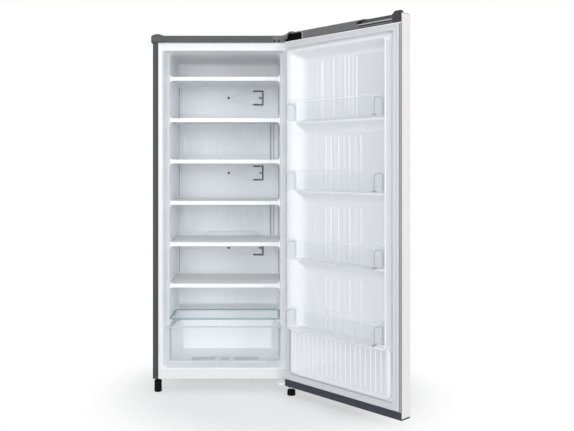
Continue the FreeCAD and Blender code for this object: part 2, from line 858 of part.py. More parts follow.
def shelf(level):
    """Shelf plate with a thick front bar. The bar's ends turn up and down in a round."""
    body = new_body(f"shelf_{level + 1}")
    top = f"(top_shelf - {level} * shelf_pitch)"
    half = f"({BAY} - shelf_play)"
    front = "mouth_depth"
    rear = "(mouth_depth + shelf_bar_depth)"
    block(body, (negative(half), front, f"{top} - shelf_bar"), (half, rear, top))
    for side in (-1, 1):
        x0, x1 = span(side, f"{half} - 2", half)
        block(
            body, (x0, front, f"{top} - shelf_bar - shelf_horn"),
            (x1, rear, f"{top} + shelf_horn"),
        )
    fillet(
        body, "shelf_horn - 2", "Y",
        lambda p: near(abs(p.x), f"{half} - 2")
        and (near(p.z, top) or near(p.z, f"{top} - shelf_bar")),
    )
    block(
        body, (negative(f"({BAY} - 2 * shelf_play)"), rear, f"{top} - shelf_plate"),
        (f"({BAY} - 2 * shelf_play)", "mouth_depth + shelf_depth", top),
    )
    first = f"(shelf_rib_inset - {half})"
    rib = block(
        body, (first, rear, f"{top} - shelf_plate - shelf_rib"),
        (f"{first} + shelf_rib_wall", "mouth_depth + shelf_depth - 10", f"{top} - shelf_plate"),
    )
    reach = f"2 * ({half} - shelf_rib_inset) - shelf_rib_wall"
    repeat(body, [rib], "X", reach, "shelf_rib_count")


def glass_shelf():
    body = new_body("glass_shelf")
    half = f"({BAY} - 1.5 * shelf_play)"
    block(
        body, (negative(half), "mouth_depth + 2", f"{STEP_TOP} - glass"),
        (half, f"{STEP_FRONT} - 2", STEP_TOP),
    )
    fillet(body, 4, "Z", lambda p: p.y < value_of("mouth_depth + 5"))
    fillet(body, "bay_corner_radius", "Z", lambda p: p.y > value_of("mouth_depth + 5"))


def drawer_box():
    """Clear tub of the bottom drawer."""
    body = new_body("drawer_box")
    half = f"({BAY} - 4 * shelf_play)"
    front = "(drawer_front_set + drawer_wall)"
    rear = f"({STEP_FRONT} - drawer_rear_gap)"
    low = f"({BAY_LOW} + seat_gap)"
    block(body, (negative(half), front, low), (half, rear, f"{low} + drawer_height"))
    block(
        body, (f"drawer_wall - {half}", f"{front} + drawer_wall", f"{low} + drawer_wall"),
        (f"{half} - drawer_wall", f"{rear} - drawer_wall", f"{low} + drawer_height + 1"),
        cut=True,
    )
    fillet(body, "drawer_corner - drawer_wall", "Z", lambda p: near(p.y, f"{rear} - drawer_wall"))
    fillet(body, "drawer_corner", "Z", lambda p: near(p.y, rear))


def drawer_front():
    """Clear front of the bottom drawer, with a pull lip along its top and slots low down."""
    body = new_body("drawer_front")
    half = f"({MOUTH} - drawer_front_margin)"
    low = f"({BAY_LOW} + seat_gap + drawer_front_lift)"
    high = f"({low} + drawer_front_height)"
    rear = "(drawer_front_set + drawer_wall)"
    block(body, (negative(half), "drawer_front_set", low), (half, rear, high))
    block(
        body, (negative(half), "drawer_front_set - drawer_lip", f"{high} - drawer_wall"),
        (half, "drawer_front_set", high),
    )
    slots = [("-drawer_slot_short / 2", "drawer_slot_short / 2")]
    for side in (-1, 1):
        slots.append(span(side, "drawer_slot_start", "drawer_slot_start + drawer_slot_long"))
    for x0, x1 in slots:
        block(
            body, (x0, "drawer_front_set - 1", f"{low} + drawer_slot_rise"),
            (x1, f"{rear} + 1", f"{low} + drawer_slot_rise + drawer_slot"), cut=True,
        )


# ---------------------------------------------------------------- door


def door_skin():
    """Painted steel outer pan of the door: its face, both edges and their return flanges."""
    body = new_body("door_outer_skin", "door")
    low = "(door_bottom + 3 * door_skin_set)"
    high = "(door_top - door_skin_set)"
    near_x = across(0)
    far_x = across("cabinet_width")
    steel = "sheet_steel"
    block(body, (far_x, SKIN, low), (near_x, FACE, high))
    block(
        body, (f"{far_x} + {steel}", f"{SKIN} + {steel}", f"{low} - 1"),
        (f"{near_x} - {steel}", f"{FACE} + 1", f"{high} + 1"), cut=True,
    )
    fillet(body, "door_corner - sheet_steel", "Z", lambda p: near(p.y, f"{SKIN} + {steel}"))
    fillet(body, "door_corner", "Z", lambda p: near(p.y, SKIN))
    block(
        body, (across("pocket_clear"), f"{SKIN} - 1", POCKET_SEAT),
        (f"{near_x} + 1", f"{FACE} + 1", "door_top"), cut=True,
    )
    for start, end in ((0, "return_flange"), ("cabinet_width - return_flange", "cabinet_width")):
        block(
            body, (across(end), f"{FACE} - 3 * {steel}", LINER_LOW),
            (across(start), f"{FACE} - 2 * {steel}", LINER_HIGH),
        )


def dyke_outline(inset):
    """The raised rim's outer edge, moved in by inset."""
    return rectangle(
        (across(f"cabinet_width - dyke_free - {inset}"), f"{LINER_LOW} + dyke_foot + {inset}"),
        (across(f"dyke_hinge + {inset}"), f"{LINER_HIGH} - dyke_head - {inset}"),
    )


def dyke_hollow(inset):
    """The opening inside the raised rim, at the rim's crest, moved out by inset."""
    return rectangle(
        (
            across(f"cabinet_width - dyke_free - dyke_free_width + {inset}"),
            f"{LINER_LOW} + dyke_foot + dyke_end_width - {inset}",
        ),
        (
            across(f"dyke_hinge + dyke_hinge_width - {inset}"),
            f"{LINER_HIGH} - dyke_head - dyke_end_width + {inset}",
        ),
    )


def drafted(body, points, face, height, cut=False, away=True):
    """A block or hollow whose outline stands on face and narrows along its height."""
    sketch = outline(body, "XZ_Plane", negative(face), points)
    return extrude(body, sketch, height, cut=cut, away=away, taper="-dyke_draft")


def fillet_corners(body, radius, sketch_rect, face, inward):
    """Round the four slanting corner edges of a drafted block or hollow that starts at face."""
    settle(body)
    (low_x, low_z), (high_x, high_z) = sketch_rect[0], sketch_rect[2]
    corners = [
        FreeCAD.Vector(value_of(x), value_of(face), value_of(z))
        for x in (low_x, high_x) for z in (low_z, high_z)
    ]
    names = []
    for number, edge in enumerate(body.Tip.Shape.Edges, start=1):
        start, end = edge.Vertexes[0].Point, edge.Vertexes[-1].Point
        slanting = abs(start.y - end.y) > value_of(inward) / 2
        if slanting and any((p - corner).Length < 0.1 for p in (start, end) for corner in corners):
            names.append(f"Edge{number}")
    round_off(body, radius, names)


def door_foam():
    """Foam between the door's skin, caps and liner, and inside the raised rim."""
    body = new_body("door_insulation", "door")
    steel = "sheet_steel"
    top = f"({FACE} - liner_wall)"
    block(
        body, (across(f"cabinet_width - {steel}"), f"{SKIN} + {steel}", LINER_LOW),
        (across(steel), f"{FACE} - 3 * {steel}", LINER_HIGH),
    )
    fillet(body, "door_corner - sheet_steel", "Z", lambda p: near(p.y, f"{SKIN} + {steel}"))
    block(
        body, (across("cabinet_width - return_flange"), f"{FACE} - 3 * {steel}", LINER_LOW),
        (across("return_flange"), top, LINER_HIGH),
    )
    core = dyke_outline("liner_wall")
    drafted(body, core, top, "dyke_height")
    fillet_corners(body, "dyke_corner - liner_wall", core, top, "dyke_height")
    crest = f"({top} + dyke_height)"
    drafted(body, dyke_hollow("liner_wall"), crest, "dyke_height", cut=True)
    core = (f"{LEDGE_NEAR} + 2 * liner_wall", f"{LEDGE_FAR} - 2 * liner_wall")
    for number in range(SIZES["bin_count"]):
        bin_ledge(body, number, "0", LEDGE_NEAR, LEDGE_FAR, cut=True)
        bin_ledge(body, number, "liner_wall", *core)


def door_liner():
    """Moulded inner face of the door, with the raised rim and upright ribs between the bins."""
    body = new_body("door_inner_liner", "door")
    wall = "liner_wall"
    low_x = across("cabinet_width - liner_edge")
    high_x = across("liner_edge")
    back = f"({FACE} - {wall})"
    crest = f"({FACE} + dyke_height)"
    block(body, (low_x, back, LINER_LOW), (high_x, FACE, LINER_HIGH))
    drafted(body, dyke_outline(0), FACE, "dyke_height")
    drafted(body, dyke_outline(wall), back, "dyke_height", cut=True, away=False)
    fillet_corners(body, "dyke_corner - liner_wall", dyke_outline(wall), back, "dyke_height")
    fillet_corners(body, "dyke_corner", dyke_outline(0), FACE, "dyke_height")
    drafted(body, dyke_hollow(wall), f"({crest} - {wall})", "dyke_height", away=False)
    drafted(body, dyke_hollow(0), crest, "dyke_height", cut=True)
    rib = block(
        body, (across(f"{BIN_NEAR} + 12 + rib_width"), FACE, f"{LINER_LOW} + dyke_foot + 30"),
        (across(f"{BIN_NEAR} + 12"), f"{FACE} + rib_height", f"{LINER_HIGH} - dyke_head - 30"),
    )
    row = repeat(body, [rib], "X", "rib_pitch * (rib_count - 1)", "rib_count")
    row.Reversed = True
    for number in range(SIZES["bin_count"]):
        for start, end in (
            (f"{BIN_NEAR} + bin_wall", "dyke_hinge + dyke_hinge_width + 0.5"),
            (f"{BIN_FAR} + 4.5", f"{BIN_FAR} - bin_wall"),
        ):
            place = (across(start), f"{FACE} + knob_reach", knob_height(number))
            rod(body, place, f"abs(({start}) - ({end}))", "knob_radius", "X")
        bin_ledge(body, number, "0", LEDGE_NEAR, LEDGE_FAR)
        inside = (f"{LEDGE_NEAR} + 2 * {wall}", f"{LEDGE_FAR} - 2 * {wall}")
        bin_ledge(body, number, wall, *inside, cut=True)


def knob_height(number):
    """How high the knob at each end of a bin stands."""
    return f"(bin_top - {number} * bin_pitch - bin_height + knob_rise)"


def bin_ledge(body, number, inset, start, end, cut=False):
    """The moulded ledge that a bin stands on: level above, sloping back to the door below.
    With an inset it is the ledge's core, which reaches through to the liner's back."""
    top = f"(bin_top - {number} * bin_pitch - bin_height - seat_gap)"
    slope = "((ledge_drop - ledge_lip) / ledge_depth)"
    lift = f"({inset} * sqrt(1 + {slope} * {slope}))"
    rear = f"({FACE} - {inset})"
    nose = f"({FACE} + ledge_depth - {inset})"
    points = [
        (rear, f"{top} - {inset}"),
        (rear, f"{top} - ledge_drop + {lift} - {slope} * {inset}"),
        (nose, f"{top} - ledge_lip + {lift} - {slope} * {inset}"),
        (nose, f"{top} - {inset}"),
    ]
    sketch = outline(body, "YZ_Plane", across(end), points)
    return extrude(body, sketch, f"({end}) - ({start})", cut=cut, away=cut)


def door_gasket():
    """Magnetic seal round the door's inner face."""
    body = new_body("door_gasket", "door")
    outer = rectangle(
        (across("cabinet_width - gasket_edge"), f"{LINER_LOW} + gasket_edge / 2"),
        (across("gasket_edge"), f"{LINER_HIGH} - gasket_edge / 2"),
    )
    edge = "(gasket_edge + gasket_width)"
    inner = rectangle(
        (across(f"cabinet_width - {edge}"), f"{LINER_LOW} - gasket_edge / 2 + {edge}"),
        (across(edge), f"{LINER_HIGH} + gasket_edge / 2 - {edge}"),
    )
    prism(body, outer, FACE, f"{FACE} + gasket_height")
    fillet(body, 5, "Y", lambda p: True)
    prism(body, inner, f"({FACE} - 1)", f"{FACE} + gasket_height + 1", cut=True)
    for bar in magnet_bars("seat_gap"):
        block(body, *bar, cut=True)


def magnet_bars(play):
    """Corners of the four magnet strips inside the gasket, with some play round them."""
    low_y = f"({FACE} + gasket_height - 1.2 - magnet_depth - {play})"
    high_y = f"({FACE} + gasket_height - 1.2 + {play} / 2)"
    inset = "(gasket_edge + gasket_width / 2 - magnet_width / 2)"
    ends = "(gasket_edge + gasket_width + 6)"
    z_inset = "(gasket_width / 2 + gasket_edge / 2 - magnet_width / 2)"
    z_ends = "(gasket_width + gasket_edge / 2 + 6)"
    bars = []
    for start in (inset, f"(cabinet_width - {inset} - magnet_width)"):
        bars.append((
            (across(f"{start} + magnet_width + {play}"), low_y, f"{LINER_LOW} + {z_ends} - {play}"),
            (across(f"{start} - {play}"), high_y, f"{LINER_HIGH} - {z_ends} + {play}"),
        ))
    for start in (f"({LINER_LOW} + {z_inset})", f"({LINER_HIGH} - {z_inset} - magnet_width)"):
        bars.append((
            (across(f"cabinet_width - {ends} + {play}"), low_y, f"{start} - {play}"),
            (across(f"{ends} - {play}"), high_y, f"{start} + magnet_width + {play}"),
        ))
    return bars


def gasket_magnets():
    body = new_body("gasket_magnet_strips", "door")
    strips = magnet_bars("0")
    return body, strips


def door_top_cap():
    """Dark cap along the door's top: a notch for the hinge, a grip recess and an end boss."""
    body = new_body("door_top_cap", "door")
    steel = "sheet_steel"
    near_x = across(steel)
    far_x = across(f"cabinet_width - {steel}")
    low_y = f"({SKIN} + {steel})"
    block(body, (far_x, low_y, LINER_HIGH), (near_x, FACE, "door_top"))
    fillet(body, "door_corner - sheet_steel", "Z", lambda p: near(p.y, low_y))
    block(
        body, (across("pocket_length"), f"{low_y} - 1", POCKET_FLOOR),
        (across(0), f"{FACE} + 1", "door_top + 1"), cut=True,
    )
    block(
        body, (across("grip_far"), f"{FACE} - grip_depth", "door_top - grip_height"),
        (across("grip_near"), f"{FACE} + 1", "door_top + 1"), cut=True,
    )
    block(
        body, (across("cabinet_width - 3"), f"{FACE} - 2 * grip_depth", "door_top"),
        (across("grip_far"), FACE, "door_top + cap_boss"),
    )
    fillet(body, 3, "Y", lambda p: near(p.z, "door_top + cap_boss"))
    bush_hole(body, LINER_HIGH, 8)


def bush_hole(body, start, length):
    rod(body, (0, 0, f"{start} - 1"), f"{length} + 1", "bush_radius + pin_play", cut=True)


def hinge_pocket():
    """Black insert that lines the hinge notch in the top cap."""
    body = new_body("hinge_pocket_insert", "door")
    steel = "sheet_steel"
    low_y = f"({SKIN} + {steel})"
    block(
        body, (across("pocket_length"), low_y, POCKET_FLOOR), (across(steel), FACE, POCKET_SEAT),
    )
    block(
        body, (across("pocket_length"), low_y, POCKET_SEAT),
        (across("pocket_clear"), FACE, "door_top - 1"),
    )
    fillet(body, "door_corner - sheet_steel", "Z", lambda p: near(p.y, low_y) and p.x > 0)
    rod(
        body, (0, 0, f"{POCKET_FLOOR} - 1"), "2 * pocket_lining", "bush_radius + pin_play", cut=True,
    )


def upper_bush():
    """Flanged bush in the hinge notch, which turns on the upper pin."""
    body = new_body("upper_hinge_bush", "door")
    rod(body, (0, 0, f"{LINER_HIGH} + 1"), f"{POCKET_SEAT} - {LINER_HIGH} - 1", "bush_radius")
    rod(body, (0, 0, POCKET_SEAT), "bush_rim", "bush_flange")
    rod(body, (0, 0, LINER_HIGH), 30, "pin_radius + pin_play", cut=True)


def door_bottom_cap():
    """Dark cap along the door's bottom edge."""
    body = new_body("door_bottom_cap", "door")
    steel = "sheet_steel"
    low_y = f"({SKIN} + {steel})"
    block(
        body, (across(f"cabinet_width - {steel}"), low_y, "door_bottom"),
        (across(steel), FACE, LINER_LOW),
    )
    fillet(body, "door_corner - sheet_steel", "Z", lambda p: near(p.y, low_y))
    bush_hole(body, "door_bottom", "lower_pin - 1")


def lower_bush():
    """Flanged bush under the door, which rests on the lower hinge bracket."""
    body = new_body("lower_hinge_bush", "door")
    seat = "(cabinet_bottom - bracket_drop + seat_gap)"
    rod(body, (0, 0, seat), f"door_bottom - {seat}", "bush_flange")
    rod(body, (0, 0, "door_bottom"), "lower_pin - 2", "bush_radius")
    rod(body, (0, 0, f"{seat} - 1"), 60, "pin_radius + pin_play", cut=True)


def door_bin(number):
    """Clear bin hung between the door's rims: open above, with a turned-in front lip."""
    body = new_body(f"door_bin_{number + 1}", "door")
    top = f"(bin_top - {number} * bin_pitch)"
    low = f"({top} - bin_height)"
    rear = f"({FACE} + rib_height + seat_gap)"
    front = f"({FACE} + bin_front)"
    x0 = across(BIN_FAR)
    x1 = across(BIN_NEAR)
    block(body, (x0, rear, low), (x1, front, top))
    block(
        body, (f"{x0} + bin_wall", f"{rear} + bin_wall", f"{low} + bin_wall"),
        (f"{x1} - bin_wall", f"{front} - bin_wall", f"{top} + 1"), cut=True,
    )
    fillet(body, "bin_corner - bin_wall", "Z", lambda p: near(p.y, f"{front} - bin_wall"))
    fillet(body, "bin_corner", "Z", lambda p: near(p.y, front))
    for start in (x0, f"{x1} - bin_wall"):
        block(
            body,
            (f"{start} - 0.1", f"{FACE} + knob_reach - knob_radius - seat_gap", f"{low} - 1"),
            (
                f"{start} + bin_wall + 0.1",
                f"{FACE} + knob_reach + knob_radius + seat_gap",
                f"{knob_height(number)} + knob_radius + seat_gap",
            ),
            cut=True,
        )


# ---------------------------------------------------------------- hinges, feet and rollers


def upper_bracket():
    """Steel plate on the roof with a tongue over the door and a pin down into it."""
    body = new_body("upper_hinge_bracket")
    top = "(cabinet_top + bracket_steel)"
    left = f"({PIVOT_X} - bracket_width)"
    block(body, (left, 6, "cabinet_top"), (f"{PIVOT_X} + 8", 80, top))
    block(
        body, (f"{PIVOT_X} - nose_radius", negative("pivot_forward"), "cabinet_top"),
        (f"{PIVOT_X} + nose_radius", 6, top),
    )
    rod(body, (PIVOT_X, "-pivot_forward", "cabinet_top"), "bracket_steel", "nose_radius")
    rod(
        body, (PIVOT_X, "-pivot_forward", "cabinet_top - upper_pin"), "upper_pin", "pin_radius",
    )
    for x, y in UPPER_SCREWS:
        screw_hole(body, (x, y, "cabinet_top - 1"), "bracket_steel + 2")


def hinge_cover():
    """Hollow plastic cover over the upper hinge, with an apron down the cabinet's front."""
    body = new_body("hinge_cover")
    wall = "cover_wall"
    top = "(cabinet_top + hinge_cover_rise)"
    right = f"({HALF} + seat_gap + {wall})"
    apron = "(seat_gap + apron)"
    nose = f"({PIVOT_X} - nose_radius - 6)"
    block(
        body, ("rail_reach + seat_gap", negative(apron), RAIL_LOW), (right, 96, "cabinet_top + 4")
    )
    points = [
        (f"{nose} - 26", "cabinet_top + 4"), (right, "cabinet_top + 4"),
        (right, top), (f"{nose} - 4", top),
    ]
    prism(body, points, negative(apron), 96)
    points = [
        (nose, "door_top + 2"), (right, "door_top + 2"), (right, top), (f"{nose} + 6", top),
    ]
    prism(body, points, "-pivot_forward - nose_radius - 6", negative(apron))
    fillet(body, 12, "Z", lambda p: p.y < value_of("-pivot_forward - nose_radius"))
    block(
        body, ("rail_reach", "-seat_gap", f"{RAIL_LOW} - 1"),
        (f"{HALF} + seat_gap", 97, "cabinet_top + seat_gap"), cut=True,
    )
    block(
        body, (f"{PIVOT_X} - bracket_width - 3", "-seat_gap", "cabinet_top"),
        (
            f"{PIVOT_X} + nose_radius + 0.4", 92,
            "cabinet_top + bracket_steel + screw_head_height + 1",
        ),
        cut=True,
    )
    block(
        body,
        (f"{PIVOT_X} - nose_radius - 1", "-pivot_forward - nose_radius - 2", "cabinet_top"),
        (f"{PIVOT_X} + nose_radius + 0.4", 0, "cabinet_top + bracket_steel + 3"), cut=True,
    )


def lower_bracket():
    """Steel bracket under the cabinet: flange, web and a forward plate with the lower pin.
    The plate is bored from below for the stem of the foot."""
    body = new_body("lower_hinge_bracket")
    steel = "bracket_steel"
    left = f"({PIVOT_X} - bracket_width + nose_radius)"
    right = f"({PIVOT_X} + nose_radius)"
    plate = "(cabinet_bottom - bracket_drop)"
    block(body, (left, 3, f"cabinet_bottom - {steel}"), (right, 70, "cabinet_bottom"))
    block(body, (left, 3, f"{plate} - {steel}"), (right, f"3 + {steel}", "cabinet_bottom"))
    block(body, (left, -14, f"{plate} - {steel}"), (right, f"3 + {steel}", plate))
    block(
        body, (f"{PIVOT_X} - nose_radius", "-pivot_forward", f"{plate} - {steel}"),
        (right, 0, plate),
    )
    rod(body, (PIVOT_X, "-pivot_forward", f"{plate} - {steel}"), steel, "nose_radius")
    rod(body, (PIVOT_X, "-pivot_forward", plate), "lower_pin", "pin_radius")
    rod(
        body, (PIVOT_X, "-pivot_forward", f"{plate} - {steel} - 1"), f"{steel} + 1.5",
        "hinge_foot_stem + pin_play", cut=True,
    )
    for x, y in LOWER_SCREWS:
        screw_hole(body, (x, y, f"cabinet_bottom - {steel} - 1"), f"{steel} + 2")


def hinge_screws():
    body = new_body("hinge_screws")
    for x, y in UPPER_SCREWS:
        screw(body, (x, y, "cabinet_top + bracket_steel"))
    for x, y in LOWER_SCREWS:
        screw(body, (x, y, "cabinet_bottom - bracket_steel"), toward=-1)


def front_left_foot():
    """Black levelling foot on a threaded stem."""
    body = new_body("front_left_foot")
    bind(body, "Placement.Base.x", f"{SHIFT_X} + foot_inset - {HALF}")
    bind(body, "Placement.Base.y", f"{SHIFT_Y} + foot_set")
    rod(body, (0, 0, 0), "foot_pad", "foot_radius")
    rod(body, (0, 0, "foot_pad"), "cabinet_bottom - foot_pad - 4", "foot_radius - 2")
    rod(body, (0, 0, "foot_pad"), "cabinet_bottom", "foot_stem")


def front_right_foot():
    """Black levelling foot under the lower hinge pin."""
    body = new_body("front_right_foot")
    bind(body, "Placement.Base.x", f"{SHIFT_X} + {PIVOT_X}")
    bind(body, "Placement.Base.y", f"{SHIFT_Y} - pivot_forward")
    plate = "(cabinet_bottom - bracket_drop - bracket_steel)"
    rod(body, (0, 0, 0), f"{plate} - 6", "hinge_foot_radius")
    fillet_round(body, 4)
    rod(body, (0, 0, 0), f"{plate} + bracket_steel", "hinge_foot_stem")


def fillet_round(body, radius):
    """Round the top edge of an upright cylinder."""
    settle(body)
    shape = body.Tip.Shape
    highest = shape.BoundBox.ZMax
    names = [
        f"Edge{number}" for number, edge in enumerate(shape.Edges, start=1)
        if abs(edge.BoundBox.ZMin - highest) < 0.01
    ]
    round_off(body, radius, names)


def roller(side):
    """Rear wheel on its axle."""
    name = "left" if side < 0 else "right"
    middle = f"{HALF} - roller_inset"
    x0, x1 = span(side, f"{middle} - roller_width / 2", f"{middle} + roller_width / 2")
    body = new_body(f"rear_{name}_roller")
    centre = ("cabinet_depth - roller_set", "roller_radius")
    rod(body, (x0, *centre), "roller_width", "roller_radius", "X")
    rod(body, (f"{x0} - 1", *centre), "roller_width + 2", "axle_radius + pin_play", "X", cut=True)


def roller_brackets():
    """A pair of folded brackets under the base, each with two cheeks beside its wheel."""
    body = new_body("rear_roller_brackets")
    y0 = "(cabinet_depth - roller_set - 16)"
    y1 = "(cabinet_depth - roller_set + 16)"
    gap = "(roller_width / 2 + 1)"
    for side in (-1, 1):
        middle = f"({side} * ({HALF} - roller_inset))"
        outer = f"({gap} + roller_cheek)"
        block(
            body, (f"{middle} - {outer}", y0, "cabinet_bottom - roller_cheek"),
            (f"{middle} + {outer}", y1, "cabinet_bottom"),
        )
        for start in (f"{middle} - {outer}", f"{middle} + {gap}"):
            block(
                body, (start, y0, "roller_radius - 9"),
                (f"{start} + roller_cheek", y1, "cabinet_bottom"),
            )
        rod(
            body, (f"{middle} - {outer} - 1", "cabinet_depth - roller_set", "roller_radius"),
            f"2 * {outer} + 2", "axle_radius + pin_play", "X", cut=True,
        )


def roller_axles():
    body = new_body("rear_roller_axles")
    reach = "(roller_width / 2 + roller_cheek + 3)"
    for side in (-1, 1):
        middle = f"({side} * ({HALF} - roller_inset))"
        rod(
            body, (f"{middle} - {reach}", "cabinet_depth - roller_set", "roller_radius"),
            f"2 * {reach}", "axle_radius", "X",
        )


# ---------------------------------------------------------------- machine compartment


MACHINE_MIDDLE = f"(({MACHINE_FRONT} + cabinet_depth) / 2)"


def compressor():
    """Sealed compressor: a domed steel shell on a foot plate."""
    body = new_body("compressor")
    base = f"({FLOOR_PLATE} + mount_height)"
    x, y = "compressor_across", MACHINE_MIDDLE
    reach = "(compressor_radius + compressor_plate_edge)"
    block(
        body, (f"{x} - {reach}", f"{y} - compressor_plate_depth", base),
        (f"{x} + {reach}", f"{y} + compressor_plate_depth", f"{base} + compressor_plate"),
    )
    for mx, my in mount_places():
        rod(body, (mx, my, f"{base} - 1"), 6, "screw_radius + 2.6", cut=True)
    top = f"({base} + compressor_plate)"
    rod(body, (x, y, top), "compressor_height - compressor_plate", "compressor_radius")
    fillet_round(body, "compressor_dome")


def mount_places():
    """Where the four grommets stand under the compressor."""
    return [
        (f"compressor_across + {sx} * mount_across", f"{MACHINE_MIDDLE} + {sy} * mount_along")
        for sx in (-1, 1) for sy in (-1, 1)
    ]


def compressor_mounts():
    """Four rubber grommets under the compressor's foot plate."""
    body = new_body("compressor_mounts")
    for x, y in mount_places():
        rod(body, (x, y, FLOOR_PLATE), "mount_height", "mount_radius")


def drip_pan():
    """Open tray on the floor, under the condenser."""
    body = new_body("evaporation_pan")
    half = "(condenser_width / 2 + pan_edge)"
    x = "condenser_across"
    y0 = f"({MACHINE_FRONT} + pan_set)"
    y1 = "(cabinet_depth - pan_edge)"
    top = f"({FLOOR_PLATE} + pan_height)"
    block(body, (f"{x} - {half}", y0, FLOOR_PLATE), (f"{x} + {half}", y1, top))
    inside = f"({half} - pan_wall)"
    block(
        body, (f"{x} - {inside}", f"{y0} + pan_wall", f"{FLOOR_PLATE} + pan_wall"),
        (f"{x} + {inside}", f"{y1} - pan_wall", f"{top} + 1"), cut=True,
    )


def condenser():
    """Finned condenser on two end plates that stand in the pan."""
    body = new_body("condenser")
    half = "(condenser_width / 2)"
    x = "condenser_across"
    y0 = f"({MACHINE_FRONT} + condenser_set)"
    y1 = f"({MACHINE_FRONT} + condenser_set + condenser_depth)"
    base = f"({FLOOR_PLATE} + pan_height + condenser_lift)"
    finned_coil(
        body, (f"{x} - {half}", y0, base), (f"{x} + {half}", y1, f"{base} + condenser_height"),
        "tube_reach",
    )
    for side in (-1, 1):
        middle = f"({x} + {side} * ({half} + condenser_foot))"
        block(
            body, (f"{middle} - 1", y0, f"{FLOOR_PLATE} + pan_wall"),
            (f"{middle} + 1", y1, f"{base} + condenser_height"),
        )


def rear_grille():
    """Slotted sheet across the back of the machine compartment."""
    body = new_body("rear_grille")
    half = f"({INNER} - seat_gap)"
    y0 = f"({BACK} - rear_grille)"
    low = FLOOR_PLATE
    high = f"({MACHINE_TOP} - sheet_steel)"
    block(body, (negative(half), y0, low), (half, BACK, high))
    slot = block(
        body, (f"grille_left - {half}", f"{y0} - 1", f"{low} + grille_low"),
        ("-grille_middle", f"{BACK} + 1", f"{low} + grille_low + grille_slot"), cut=True,
    )
    twin = block(
        body, ("grille_middle", f"{y0} - 1", f"{low} + grille_low"),
        (f"{half} - grille_right", f"{BACK} + 1", f"{low} + grille_low + grille_slot"), cut=True,
    )
    repeat(body, [slot, twin], "Z", "grille_pitch * (grille_count - 1)", "grille_count")
    for side in (-1, 1):
        for z in GRILLE_SCREW_HEIGHTS:
            screw_hole(body, (f"{side} * {GRILLE_SCREW_X}", f"{y0} - 1", z), "rear_grille + 2", "Y")
    rod(
        body, (f"{half} - gland_inset", f"{y0} - 1", f"{low} + gland_height"), "rear_grille + 2",
        "gland_radius + pin_play", "Y", cut=True,
    )


def grille_screws():
    body = new_body("rear_grille_screws")
    for side in (-1, 1):
        for z in GRILLE_SCREW_HEIGHTS:
            screw(body, (f"{side} * {GRILLE_SCREW_X}", BACK, z), "Y", length=10)


def cable_gland():
    """Grommet in the rear grille."""
    body = new_body("cable_gland")
    half = f"({INNER} - seat_gap)"
    x, z = f"({half} - gland_inset)", f"({FLOOR_PLATE} + gland_height)"
    y0 = f"({BACK} - rear_grille)"
    rod(body, (x, f"{y0} - 5", z), "rear_grille + 6", "gland_radius", "Y")
    rod(body, (x, f"{y0} - 5", z), 5, "gland_radius + 3", "Y")
    rod(body, (x, f"{y0} - 6", z), 20, "gland_bore", "Y", cut=True)


def condenser_fan():
    """Fan behind the condenser, with its motor carried by the rear grille."""
    centre = ("condenser_across", f"({MACHINE_FRONT} + 116)", f"({FLOOR_PLATE} + 84)")
    fan("condenser_fan", centre, "fan_radius")
    fan_motor("condenser_fan_motor", centre, f"({BACK} - rear_grille)")


def control_box():
    """Electronic control in its plastic box, fixed under the compartment's roof."""
    body = new_body("control_box")
    high = f"({MACHINE_TOP} - sheet_steel)"
    rear = "(cabinet_depth - control_set)"
    block(
        body, ("-control_left", f"{rear} - control_depth", f"{high} - control_height"),
        ("control_right", rear, high),
    )
    fillet(body, "control_round", "Z", lambda p: True)


# ---------------------------------------------------------------- build and write


def build():
    for side in (-1, 1):
        side_panel(side)
    top_panel()
    back_panel()
    machine_panel()
    base_plate()
    front_top_rail()
    left_corner_cap()
    kick_plate()
    insulation()
    inner_liner()
    air_duct_cover()
    duct_screws()
    evaporator()
    duct_fan()
    for level in range(SIZES["shelf_count"]):
        shelf(level)
    glass_shelf()
    drawer_box()
    drawer_front()
    door_skin()
    door_foam()
    door_liner()
    door_gasket()
    body, strips = gasket_magnets()
    for strip in strips:
        block(body, *strip)
    door_top_cap()
    hinge_pocket()
    upper_bush()
    door_bottom_cap()
    lower_bush()
    for number in range(SIZES["bin_count"]):
        door_bin(number)
    upper_bracket()
    hinge_cover()
    lower_bracket()
    hinge_screws()
    front_left_foot()
    front_right_foot()
    for side in (-1, 1):
        roller(side)
    roller_brackets()
    roller_axles()
    compressor()
    compressor_mounts()
    drip_pan()
    condenser()
    condenser_fan()
    rear_grille()
    grille_screws()
    cable_gland()
    control_box()
    document.recompute()


def check():
    """Stop if any feature failed or any sub-part has no valid shape."""
    for item in document.Objects:
        bad = {"Invalid", "Error"} & set(item.State)
        if bad:
            raise RuntimeError(f"{item.Label} in the document is {sorted(bad)}")
    for body in nodes:
        if body.Shape.isNull() or not body.Shape.isValid() or not body.Shape.Solids:
            raise RuntimeError(f"{body.Label} has no valid shape")


build()
check()
os.makedirs("parts", exist_ok=True)
for body in nodes:
    body.Shape.exportStep(f"parts/{body.Label}.step")
print(len(nodes), "nodes written")
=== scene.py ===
"""An upright freezer with its door open: looks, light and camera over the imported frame."""

import json
import math

import bmesh
import bpy
from mathutils import Matrix, Vector


